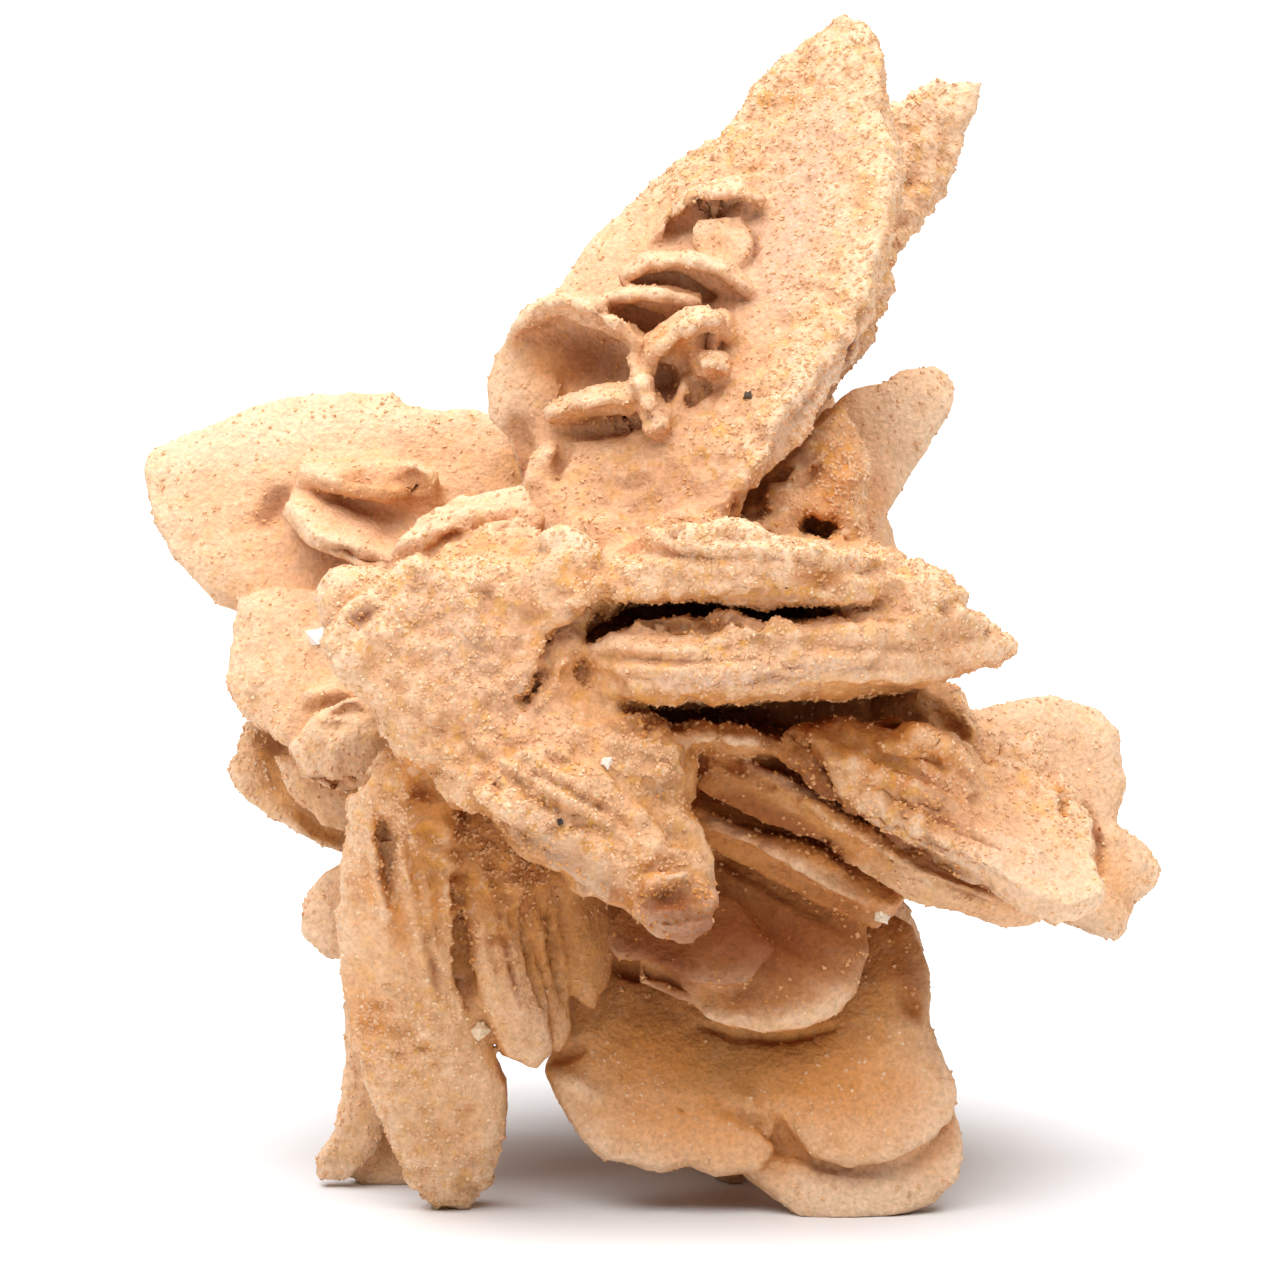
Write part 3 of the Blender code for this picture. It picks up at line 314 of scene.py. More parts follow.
# Warm orange patches, as (line, reach, strength).
WARM_MARKS = (
    # flakes on the tall blade
    ([(-5.2, 43.8), (-3.2, 42.2)], 2.2, 0.7),
    ([(0.8, 44.2), (2.5, 43.5)], 1.5, 0.9),
    # tall blade and the blades behind it
    ([(10.5, 40.0), (10.2, 37.5), (9.0, 35.2)], 2.0, 0.8),
    ([(11.1, 52.2), (11.5, 49.8)], 1.0, 0.5),
    # left wing
    ([(-14.8, 37.2), (-10.5, 36.2)], 2.2, 0.7),
    # left stack
    ([(-19.5, 24.0), (-18.0, 21.5), (-15.5, 19.5)], 1.6, 0.5),
    # middle mass
    ([(-10.5, 33.2), (-6.0, 33.8)], 1.6, 0.5),
    ([(-4.0, 32.5), (-1.5, 31.5)], 1.6, 0.6),
    ([(0.0, 16.5), (2.5, 16.2)], 1.0, 0.8),
    ([(-5.0, 29.0), (-4.0, 26.5)], 1.2, 0.6),
    # shelves
    ([(7.8, 32.4), (10.2, 32.0)], 1.2, 0.9),
    # lower shelf slot and right fan
    ([(12.0, 25.0), (15.0, 23.8), (16.0, 22.0)], 2.2, 0.6),
    ([(22.5, 18.0), (24.5, 16.0)], 2.0, 0.5),
    ([(14.5, 21.0), (17.0, 19.5)], 2.5, 0.6),
    # lower left blades
    ([(-14.5, 11.8), (-13.2, 9.0)], 2.6, 0.6),
    ([(-14.0, 17.5), (-13.4, 16.0)], 1.2, 0.6),
    # lower right blades
    ([(-2.0, 5.5), (3.0, 4.5), (6.0, 3.5)], 3.0, 0.6),
    ([(8.0, 4.0), (12.0, 3.8)], 2.4, 0.4),
    ([(6.0, 7.5), (13.0, 6.0)], 4.5, 0.7),
    ([(-2.0, 8.0), (2.0, 7.0)], 3.0, 0.4),
)

# Flakes with a sharp rim, as (line, stand, thickness at the root, on the upper or right side of the line).
FLAKES = (
    ([(-6.1, 44.5), (-5.4, 45.3), (-4.2, 45.8), (-2.5, 45.5), (-0.9, 44.5), (0.2, 43.3)], 1.2, 0.5),
    ([(-4.7, 40.0), (-3.2, 40.5), (-1.7, 40.8), (0.0, 41.0)], 1.3, 1.0),
    ([(-0.7, 43.5), (-0.3, 42.2), (0.1, 40.9), (0.7, 39.2)], 1.1, 0.7),
    ([(0.4, 41.9), (0.8, 43.2), (1.8, 44.2), (3.0, 44.9), (4.1, 45.1)], 1.4, 0.5),
    ([(3.8, 45.2), (4.3, 44.4), (4.2, 43.6)], 0.8, 0.5),
    ([(2.3, 42.2), (1.9, 41.1), (1.3, 39.8)], 0.9, 0.6),
    ([(-2.6, 45.6), (-1.0, 46.0), (0.8, 46.1), (2.9, 45.7)], 1.2, 0.5),
    ([(-0.9, 46.8), (0.5, 47.6), (2.5, 47.8), (3.8, 47.4), (5.8, 46.0)], 1.4, 0.7),
    ([(0.6, 48.8), (1.3, 49.8), (2.2, 50.6), (3.5, 51.2), (5.0, 51.3), (6.1, 50.7)], 1.0, 0.6),
    ([(-5.2, 36.4), (-4.6, 37.8), (-4.0, 38.8)], 0.6, 0.9),
    ([(2.7, 42.7), (3.5, 42.6), (4.4, 42.3)], 1.0, 1.0),
    ([(0.0, 26.0), (3.5, 25.6), (6.9, 25.9)], 0.5, 0.6),
    ([(-2.8, 28.1), (0.0, 29.1), (4.0, 29.3), (8.0, 29.1)], 0.8, 1.0),
    ([(-1.5, 27.2), (3.0, 27.0), (8.0, 27.5), (12.0, 28.2)], 0.35, 0.7),
    ([(0.8, 24.0), (3.5, 23.9), (6.0, 23.8)], 0.9, 0.9),
    ([(3.1, 20.1), (5.5, 18.8), (8.0, 17.6), (11.0, 16.1)], 0.8, 1.0),
    ([(5.0, 22.6), (8.0, 20.8), (10.5, 19.2), (13.0, 17.4)], 0.6, 1.0),
    ([(11.5, 23.4), (13.2, 23.6), (15.0, 23.2), (16.3, 22.1)], 1.0, 1.0),
    ([(13.0, 21.5), (15.0, 21.0), (16.8, 19.9)], 0.7, 0.9),
    ([(-12.2, 33.0), (-10.8, 34.0), (-8.5, 34.9), (-6.0, 35.4)], 0.6, 1.0),
    ([(-0.2, 16.3), (2.5, 16.7)], 0.6, 0.8),
    ([(-2.0, 33.0), (1.0, 33.7), (5.0, 33.8), (9.0, 33.2)], 0.45, 0.9),
    ([(-17.0, 25.9), (-15.4, 26.3), (-14.0, 26.1)], 0.6, 0.8),
)

# Seams and hollows that the crust has filled, as (line, radius, depth of its middle).
SEAMS = (
    ([(-7.8, 23.0), (-5.0, 23.5), (-2.0, 23.4), (0.2, 22.4)], 2.8, 1.9),
    ([(-4.0, 31.0), (-4.8, 29.0), (-5.2, 26.5)], 1.8, 1.4),
    ([(-10.0, 31.0), (-8.0, 31.5), (-5.5, 31.0)], 2.0, 1.6),
    ([(-12.9, 19.2), (-12.7, 17.8), (-12.7, 16.2)], 1.5, 0.5),
    ([(0.0, 30.4), (3.0, 30.3), (6.0, 30.4), (8.5, 30.2)], 0.9, 1.5),
    ([(0.0, 24.7), (3.0, 24.7), (6.5, 24.9)], 0.8, 1.3),
    ([(-3.6, 27.6), (-2.6, 27.0)], 0.9, 0.5),
    ([(12.2, 25.4), (14.0, 25.7)], 1.2, 0.4),
)

# Crusty places, as (spot, reach), and layered ones, as (spot, reach, run of the layers).
ROUGH_SPOTS = (
    ((-10.0, 30.0), 5.0),
    ((-7.0, 26.0), 5.0),
    ((-4.0, 21.0), 4.5),
    ((-2.0, 18.0), 3.5),
    ((-2.0, 32.5), 3.0),
    ((3.0, 33.2), 3.0),
    ((9.0, 32.5), 4.0),
    ((5.0, 28.5), 4.5),
    ((1.0, 23.5), 3.5),
    ((2.0, 16.5), 2.5),
    ((13.0, 21.0), 4.0),
    ((10.0, 37.5), 3.0),
    ((8.0, 41.0), 2.0),
    ((4.0, 38.5), 2.5),
    ((-11.0, 19.5), 3.5),
    ((-7.0, 17.0), 3.5),
    ((-12.0, 9.0), 3.0),
)
LAYERED_SPOTS = (
    ((4.0, 32.5), 6.0, (1.0, 0.0)),
    ((11.0, 30.0), 5.0, (1.0, -0.1)),
    ((2.0, 27.0), 5.0, (1.0, 0.0)),
    ((13.0, 19.5), 7.0, (1.0, -0.5)),
    ((8.0, 18.5), 5.0, (1.0, -0.55)),
    ((-5.0, 21.0), 5.5, (1.0, -0.6)),
    ((2.0, 16.5), 3.0, (1.0, 0.1)),
    ((-7.0, 14.5), 4.0, (0.25, -1.0)),
    ((-12.0, 16.0), 4.5, (0.15, -1.0)),
    ((7.5, 40.0), 3.5, (0.55, 1.0)),
)

# Sand grains: share of GRAINS at most, radius in mm, colour, roughness, and the range of the painted shade
# level of their places, so that dark grains paint shade into hollows and pale ones paint light onto open
# places.
GRAINS = 84000
GRAIN_SORTS = {
    "grains_buff": (0.29, 0.14, (0.68, 0.39, 0.205), 0.6, (0.0, 0.26)),
    "grains_tan": (0.26, 0.15, (0.60, 0.30, 0.12), 0.6, (0.42, 0.75)),
    "grains_cream": (0.10, 0.12, (0.77, 0.53, 0.33), 0.45, (0.0, 0.2)),
    "grains_amber": (0.18, 0.13, (0.56, 0.24, 0.06), 0.5, (0.55, 0.8)),
    "grains_umber": (0.10, 0.13, (0.34, 0.11, 0.025), 0.6, (0.75, 1.0)),
}

# Single chips of mineral, as (spot, radius in mm, colour).
CHIPS = {
    "chip_white": ((-1.7, 22.9), 0.42, (0.80, 0.72, 0.62)),
    # a crystal chip where a glint shows, painted pale as a highlight
    "chip_glint": ((-16.1, 29.1), 0.7, (0.85, 0.80, 0.74)),
    "chip_lower": ((-8.1, 9.5), 0.65, (0.72, 0.55, 0.36)),
    "chip_fan": ((12.1, 15.2), 0.5, (0.78, 0.66, 0.50)),
    "chip_yellow": ((-9.7, 28.8), 0.22, (0.80, 0.52, 0.10)),
    "chip_black": ((-4.0, 19.9), 0.24, (0.04, 0.03, 0.03)),
    "chip_speck": ((5.4, 41.2), 0.3, (0.10, 0.07, 0.05)),
    "chip_small": ((0.0, 33.1), 0.15, (0.05, 0.04, 0.03)),
}


def place(across, up, near):
    """World point, in metres, of a spot seen at (across, up) and standing near before the plane."""
    scale = 1.0 - near / SIGHT_DISTANCE
    rise = SIGHT_HEIGHT + (up - SIGHT_HEIGHT) * scale
    y = rise * math.sin(SIGHT_PITCH) - near * math.cos(SIGHT_PITCH)
    z = rise * math.cos(SIGHT_PITCH) + near * math.sin(SIGHT_PITCH)
    return (Vector((across * scale, y, z + GROUND)) + CENTRING) * MM


EYE = place(0.0, SIGHT_HEIGHT, SIGHT_DISTANCE)


# Large odd numbers that scatter the bits of a cell's place and of a seed.
CELL_PRIMES = (73856093, 19349663, 83492791)
SEED_PRIME = 2654435761
MIXERS = ((15, 2246822519), (13, 3266489917))
LOW_BITS = 0xFFFFFFFF


def lattice(cells, seed):
    """Repeatable number between -1 and 1 for each whole-numbered cell."""
    x, y, z = (cells[:, n] * prime for n, prime in enumerate(CELL_PRIMES))
    mixed = x ^ y ^ z ^ seed * SEED_PRIME
    for shift, mixer in MIXERS:
        mixed = (mixed ^ (mixed >> shift)) * mixer & LOW_BITS
    return (mixed ^ (mixed >> 16)) / 0x7FFFFFFF - 1.0


def noise(points, size, seed):
    """Smooth noise between -1 and 1, with lumps of the given size."""
    scaled = points / size
    cells = np.floor(scaled).astype(np.int64)
    part = scaled - cells
    part = part * part * (3.0 - 2.0 * part)
    total = np.zeros(len(points))
    for corner in np.ndindex(2, 2, 2):
        weight = np.prod(np.where(corner, part, 1.0 - part), axis=1)
        total += weight * lattice(cells + np.array(corner), seed)
    return total


def linked(name, data):
    """Object with the given data, in the scene."""
    made = bpy.data.objects.new(name, data)
    bpy.context.scene.collection.objects.link(made)
    return made


def applied(made):
    """Mesh of an object with its modifiers applied; the object itself goes."""
    depsgraph = bpy.context.evaluated_depsgraph_get()
    mesh = bpy.data.meshes.new_from_object(made.evaluated_get(depsgraph))
    bpy.data.objects.remove(made, do_unlink=True)
    return mesh


def welded_copy(node):
    """Bmesh of a frame node with its corners joined again."""
    mesh = bmesh.new()
    mesh.from_mesh(node.data)
    bmesh.ops.remove_doubles(mesh, verts=mesh.verts, dist=0.001 * MM)
    return mesh


class Sight:
    """What is seen of a shape from the front."""

    def __init__(self, shape):
        self.tree = BVHTree.FromBMesh(shape)

    def spot(self, across, up):
        """Where the line of sight through (across, up) first meets the shape, in metres, or None."""
        towards = (place(across, up, 0.0) - EYE).normalized()
        return self.tree.ray_cast(EYE, towards)[0]

    def line(self, points, step=0.3):
        """Spots under a line, every step mm, with small jumps in depth smoothed away."""
        flat = []
        for start, end in zip(points, points[1:]):
            count = max(1, round(math.dist(start, end) / step))
            for i in range(count):
                flat.append([a + (b - a) * i / count for a, b in zip(start, end)])
        flat.append(points[-1])
        spots = [spot for spot in (self.spot(*point) for point in flat) if spot]
        depths = [(spot - EYE).length for spot in spots]
        smoothed = []
        for i, spot in enumerate(spots):
            window = sorted(depths[max(0, i - 3):i + 4])
            smoothed.append(EYE + (spot - EYE).normalized() * window[len(window) // 2])
        return smoothed


solid = welded_copy(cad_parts["sand_rose"])
bare = Sight(solid)


def ledge(mesh, line, stand, body):
    """Adds a flake: a sharp rim that stands out along a line, and a body that slopes back from it."""
    foot, crest, lip = 0.9, 0.3, 0.15
    spots = bare.line(line, 0.5)
    rings = []
    for i, spot in enumerate(spots):
        along = spots[min(i + 1, len(spots) - 1)] - spots[max(i - 1, 0)]
        outward = (EYE - spot).normalized() * MM
        side = outward.cross(along).normalized() * MM
        swell = math.sin(math.pi * (i + 0.5) / len(spots)) ** 0.7
        rim = stand * swell * (1.0 + 0.2 * math.sin(1.9 * i))
        width = body * (0.3 + 0.7 * swell)
        rings.append([mesh.verts.new(spot + corner) for corner in (
            -foot * outward - 0.1 * side,
            -foot * outward + width * side,
            0.05 * outward + width * side,
            rim * outward + crest * side,
            rim * outward - lip * side,
        )])
    for first, second in zip(rings, rings[1:]):
        for a in range(len(first)):
            b = (a + 1) % len(first)
            mesh.faces.new((first[a], first[b], second[b], second[a]))
    mesh.faces.new(rings[0][::-1])
    mesh.faces.new(rings[-1])


def seam(mesh, line, radius, sunk):
    """Fills the seam under a line with a rounded ridge; radius and how deep its middle lies in mm."""
    for spot in bare.line(line, 0.5 * radius):
        inward = (spot - EYE).normalized() * sunk * MM
        middle = Matrix.Translation(spot + inward)
        bmesh.ops.create_icosphere(mesh, subdivisions=2, radius=radius * MM, matrix=middle)


def crusted_solid():
    """The solid with its standing flakes and filled seams."""
    mesh = solid.copy()
    for line, stand, body in FLAKES:
        ledge(mesh, line, stand, body)
    for line, radius, sunk in SEAMS:
        seam(mesh, line, radius, sunk)
    return mesh


crusted = Sight(crusted_solid())


def remeshed(mesh, voxel):
    """Closed, even mesh around a bmesh, with cells of the given size in mm."""
    data = bpy.data.meshes.new("raw")
    mesh.to_mesh(data)
    mesh.free()
    raw = linked("raw", data)
    remesh = raw.modifiers.new("voxels", "REMESH")
    remesh.mode = "VOXEL"
    remesh.voxel_size = voxel * MM
    soften = raw.modifiers.new("soften", "SMOOTH")
    soften.factor = 0.5
    soften.iterations = 2
    return applied(raw)


def corners(mesh):
    """Corner places of a mesh, in mm, one row each."""
    flat = np.empty(len(mesh.vertices) * 3)
    mesh.vertices.foreach_get("co", flat)
    return flat.reshape(-1, 3) / MM


def facings(mesh):
    """Corner normals of a mesh, one row each."""
    flat = np.empty(len(mesh.vertices) * 3)
    mesh.vertex_normals.foreach_get("vector", flat)
    return flat.reshape(-1, 3)


def move_corners(mesh, places):
    """Puts the corners of a mesh at new places, in mm."""
    mesh.vertices.foreach_set("co", (places * MM).ravel())
    mesh.update()


def triangles(mesh):
    """Corner numbers of a mesh's triangles, three in a row for each."""
    mesh.calc_loop_triangles()
    faces = np.empty(len(mesh.loop_triangles) * 3, dtype=np.int32)
    mesh.loop_triangles.foreach_get("vertices", faces)
    return faces


def filled_cells(mesh, low, shape):
    """Grid of 1 inside a closed mesh and 0 outside it, from where upright lines cross its faces."""
    faces = triangles(mesh)
    scaled = (corners(mesh) - low) / CELL - 0.5
    a, b, c = (scaled[faces[n::3]] for n in range(3))
    first = np.ceil(np.minimum(np.minimum(a, b), c)[:, :2]).astype(int)
    last = np.floor(np.maximum(np.maximum(a, b), c)[:, :2]).astype(int)
    twice_area = (b[:, 0] - a[:, 0]) * (c[:, 1] - a[:, 1]) - (b[:, 1] - a[:, 1]) * (c[:, 0] - a[:, 0])
    crossings = np.zeros(shape)
    for step in np.ndindex(*((last - first).max(axis=0) + 1)):
        column = first + np.array(step)
        reached = np.flatnonzero((column <= last).all(axis=1) & (twice_area != 0.0))
        column = column[reached]
        corner = [p[reached] for p in (a, b, c)]
        share = []
        for n in range(3):
            p, q = (corner[(n + k) % 3][:, :2] - column for k in (1, 2))
            share.append((p[:, 0] * q[:, 1] - p[:, 1] * q[:, 0]) / twice_area[reached])
        inside = (share[0] >= 0.0) & (share[1] >= 0.0) & (share[2] >= 0.0)
        level = np.ceil(sum(part * p[:, 2] for part, p in zip(share, corner)))[inside].astype(int)
        entered = -np.sign(twice_area[reached][inside])
        np.add.at(crossings, (*column[inside].T, level), entered)
    return np.clip(np.cumsum(crossings, axis=2), 0.0, 1.0)


class Crowding:
    """How much of the space round a spot the rose fills, from blurred grids of its solid."""

    def __init__(self, mesh):
        self.low = np.array(rose_box[0]) / MM - MARGIN
        high = np.array(rose_box[1]) / MM + MARGIN
        self.shape = tuple(np.ceil((high - self.low) / CELL).astype(int))
        self.waves = np.fft.fftn(filled_cells(mesh, self.low, self.shape))
        self.shares = {}

    def share(self, reach):
        """Grid of the filled share within about reach mm of each cell."""
        if reach not in self.shares:
            pitch = np.meshgrid(*(np.fft.fftfreq(n) for n in self.shape), indexing="ij")
            blur = np.exp(-2.0 * (math.pi * reach / CELL) ** 2 * sum(w * w for w in pitch))
            self.shares[reach] = np.fft.ifftn(self.waves * blur).real
        return self.shares[reach]

    def at(self, places, reach):
        """Filled share within about reach mm of each place; places in mm."""
        share = self.share(reach)
        scaled = (places - self.low) / CELL - 0.5
        cells = np.clip(np.floor(scaled).astype(int), 0, np.array(self.shape) - 2)
        part = np.clip(scaled - cells, 0.0, 1.0)
        total = np.zeros(len(places))
        for corner in np.ndindex(2, 2, 2):
            weight = np.prod(np.where(corner, part, 1.0 - part), axis=1)
            total += weight * share[tuple((cells + np.array(corner)).T)]
        return total


def corner_tree(mesh):
    """Search tree of the corners of a mesh."""
    tree = KDTree(len(mesh.vertices))
    for vertex in mesh.vertices:
        tree.insert(vertex.co, vertex.index)
    tree.balance()
    return tree


def touch(mesh, tree, line, reach):
    """How much a line touches each corner of a mesh: 1 on it, 0 from reach mm on, less towards its ends."""
    weight = np.zeros(len(mesh.vertices))
    spots = crusted.line(line)
    for i, spot in enumerate(spots):
        fade = math.sin(math.pi * (i + 0.5) / len(spots)) ** 0.4
        radius = reach * MM * (0.4 + 0.6 * fade)
        for _, index, distance in tree.find_range(spot, radius):
            near = 1.0 - (distance / radius) ** 2
            weight[index] = max(weight[index], fade * near * near)
    return weight


def touches(mesh, tree, strokes):
    """Strongest touch of several (line, reach, strength) strokes on each corner."""
    total = np.zeros(len(mesh.vertices))
    for line, reach, strength in strokes:
        total = np.maximum(total, strength * touch(mesh, tree, line, reach))
    return total


def carved(mesh):
    """Sinks the grooves into a mesh and raises its ridges."""
    tree = corner_tree(mesh)
    places, out = corners(mesh), facings(mesh)
    rise = touches(mesh, tree, RIDGES) - touches(mesh, tree, GROOVES)
    ragged = 1.0 + RAGGED * noise(places, RAGGED_SIZE, RAGGED_SEED)
    move_corners(mesh, places + out * (rise * ragged)[:, None])


def nearness(places, spot, reach):
    """How near each place is to a spot seen from the front: 1 there, fading away over reach mm."""
    away = np.linalg.norm(places - np.array(crusted.spot(*spot)) / MM, axis=1)
    return np.exp(-(away / reach) ** 2)


def roughness(places):
    """How rough the surface is at each place, from 0 on the smooth blades to 1 on the crusty middle."""
    rough = np.clip(noise(places, PATCH_SIZE, PATCH_SEED) * PATCH_GAIN, 0.0, PATCH_MOST)
    for spot, reach in ROUGH_SPOTS:
        rough = np.maximum(rough, nearness(places, spot, reach))
    return rough


def layers(places):
    """Fine layering between -1 and 1, which runs along each layered spot's own direction."""
    total = np.zeros(len(places))
    forward = np.array((0.0, 1.0, 0.0))
    for number, (spot, reach, (run, rise)) in enumerate(LAYERED_SPOTS):
        along = np.array((run, 0.0, rise)) / math.hypot(run, rise)
        across = np.cross(along, forward)
        ways = ((along, LAYER_RUN), (forward, LAYER_FORWARD), (across, LAYER_ACROSS))
        own = np.stack([places @ way / size for way, size in ways], axis=1)
        total += nearness(places, spot, reach) * noise(own, 1.0, LAYER_SEED + number)
    return np.clip(total, -1.0, 1.0)


def bends(places):
    """Slow bends of the blades, in mm, stronger behind."""
    behind = np.clip((places[:, 1:2] - BEND_FROM) / BEND_OVER, 0.0, 1.0)
    ways = [noise(places, BEND_SIZE, seed) for seed in BEND_SEEDS]
    return (BEND_FRONT + BEND_MORE_BEHIND * behind) * np.stack(ways, axis=1)


def octave(places, rough, kind):
    """One octave of the relief, in mm."""
    size, seed, depth, more = kind
    return (depth + more * rough) * noise(places, size, seed)


def pits(places, rough):
    """How deep the pits are at each place, in mm."""
    opened = np.clip(noise(places, PIT_SIZE, PIT_SEED) - PIT_LEVEL, 0.0, 1.0)
    return (PIT_DEPTH + PIT_DEPTH_ROUGH * rough) * opened / (1.0 - PIT_LEVEL)


def weathered(mesh):
    """Makes a mesh uneven, lumpy, layered and pitted, in octaves from broad swells down to grains."""
    places = corners(mesh)
    rough = roughness(places)
    places += bends(places)
    shift = octave(places, rough, SWELLS) + octave(places, rough, WAVES)
    shift += octave(places, rough, LUMPS) + octave(places, rough, KNOBS)
    shift += octave(places, rough, GRIT) + LAYER_DEPTH * layers(places)
    shift -= pits(places, rough)
    places += facings(mesh) * shift[:, None]
    places[:, 2] = np.maximum(places[:, 2], 0.0)
    move_corners(mesh, places)


def add_measure(mesh, name, values):
    """Stores one number for each corner of a mesh, for its material to read."""
    measure = mesh.attributes.new(name, "FLOAT", "POINT")
    measure.data.foreach_set("value", values.astype(np.float32))


def measured(mesh, name):
    """The numbers stored under a name, one for each corner of a mesh."""
    values = np.empty(len(mesh.vertices), dtype=np.float32)
    mesh.attributes[name].data.foreach_get("value", values)
    return values


def lighter(mesh, wanted):
    """Mesh of four-cornered faces brought down to about the wanted number of triangles."""
    heavy = linked("heavy", mesh)
    fewer = heavy.modifiers.new("fewer", "DECIMATE")
    fewer.ratio = wanted / (2 * len(mesh.polygons))
    fewer.use_collapse_triangulate = True
    return applied(heavy)


class Shading:
    """Short way to add linked nodes to a material."""

    def __init__(self, name):
        self.material = bpy.data.materials.new(name)
        self.material.use_nodes = True
        self.nodes = self.material.node_tree.nodes
        self.links = self.material.node_tree.links
        self.shader = self.nodes["Principled BSDF"]
        self.place = self.nodes.new("ShaderNodeTexCoord").outputs["Object"]

    def join(self, source, target):
        """Links an output to an input."""
        self.links.new(source, target)

    def measure(self, name):
        """Number stored on the mesh."""
        node = self.nodes.new("ShaderNodeAttribute")
        node.attribute_name = name
        return node.outputs["Fac"]

    def noise(self, size, detail=2.0, roughness=0.5):
        """Noise with lumps of about the given size in mm, from 0 to 1."""
        node = self.nodes.new("ShaderNodeTexNoise")
        node.inputs["Scale"].default_value = 1.0 / (size * MM)
        node.inputs["Detail"].default_value = detail
        node.inputs["Roughness"].default_value = roughness
        self.join(self.place, node.inputs["Vector"])
        return node.outputs["Fac"]

    def ramp(self, value, *stops):
        """Colour or grey that depends on a value, by (position, colour) stops."""
        node = self.nodes.new("ShaderNodeValToRGB")
        elements = node.color_ramp.elements
        while len(elements) < len(stops):
            elements.new(0.5)
        for element, (position, colour) in zip(elements, stops):
            element.position = position
            element.color = (*colour, 1.0) if isinstance(colour, tuple) else (colour, colour, colour, 1.0)
        self.join(value, node.inputs["Fac"])
        return node.outputs["Color"]

    def mixed(self, first, second, share, blend="MIX"):
        """Two colours mixed; each of the inputs may be a socket or a value."""
        node = self.nodes.new("ShaderNodeMix")
        node.data_type = "RGBA"
        node.blend_type = blend
        for socket, value in ((node.inputs[6], first), (node.inputs[7], second), (node.inputs[0], share)):
            if isinstance(value, bpy.types.NodeSocket):
                self.join(value, socket)
            else:
                socket.default_value = (*value, 1.0) if isinstance(value, tuple) else value
        return node.outputs[2]

    def bump(self, height, depth, strength=1.0, below=None):
        """Normal of a surface raised by height, from 0 to 1, times depth in mm."""
        node = self.nodes.new("ShaderNodeBump")
        node.inputs["Strength"].default_value = strength
        node.inputs["Distance"].default_value = depth * MM
        self.join(height, node.inputs["Height"])
        if below:
            self.join(below, node.inputs["Normal"])
        return node.outputs["Normal"]


# Colours of the stone. The sunlit and pale ones also serve as painted light on open tops and rims, and the
# brown one and the rust one as painted shade in hollows and grooves and under overhangs.
PALE = (0.79, 0.57, 0.385)
SUNLIT = (0.71, 0.41, 0.245)
TAN = (0.58, 0.28, 0.095)
DUN = (0.45, 0.23, 0.10)
OCHRE = (0.64, 0.31, 0.055)
ORANGE = (0.63, 0.235, 0.045)
CREAM = (0.76, 0.53, 0.34)
LILAC = (0.56, 0.36, 0.27)
BROWN = (0.40, 0.13, 0.026)
PAINTED_SHADE_RUST = (0.20, 0.045, 0.008)


# Broad blotches of the base: (colour, size in mm, detail, two stops of (noise, share)).
BLOTCHES = (
    (DUN, 2.6, 3.0, (0.45, 0.0), (0.68, 0.6)),
    (ORANGE, 5.0, 2.0, (0.45, 0.0), (0.65, 0.6)),
)

# Coloured crust: (colour, size of its spots in mm, noise where they start, share at most).
CRUSTS = (
    (OCHRE, 0.75, 0.52, 0.8),
    (CREAM, 0.6, 0.56, 0.8),
    (DUN, 1.1, 0.54, 0.75),
)

# Colours that follow a stored measure: (colour, measure, two stops of (measure, share)).
# The first ones lie under the crust, the others over it. The sunlit colour where the sky above is open is
# painted light, and the pale one where little crowds round is partly wear and mostly painted highlight. The
# brown where sheltered from above and the rust colour where crowded and under the painted shade strokes are
# painted shade.
UNDER_CRUST = (
    (ORANGE, "layer", (0.5, 0.0), (0.8, 0.6)),
    (SUNLIT, "shelter", (0.0, 0.8), (0.28, 0.0)),
    (PALE, "crowding", (0.05, 0.7), (0.17, 0.0)),
)
OVER_CRUST = (
    (BROWN, "shelter", (0.15, 0.0), (0.6, 0.9)),
    (PAINTED_SHADE_RUST, "crowding", (0.38, 0.0), (0.66, 0.85)),
    (ORANGE, "warm", (0.0, 0.0), (1.0, 0.85)),
    (PALE, "pale", (0.0, 0.0), (1.0, 0.8)),
    (LILAC, "grey", (0.0, 0.0), (1.0, 0.9)),
    (PAINTED_SHADE_RUST, "stain", (0.05, 0.0), (0.95, 0.9)),
)


def crust(m, base, rough):
    """Base colour with spots of crust on it, thin everywhere and full where it is rough."""
    for colour, size, start, most in CRUSTS:
        spots = m.ramp(m.noise(size), (start, 0.0), (start + 0.12, most))
        crusty = m.mixed(spots, rough, 1.0, "MULTIPLY")
        base = m.mixed(base, colour, m.mixed(crusty, spots, 0.25))
    return base


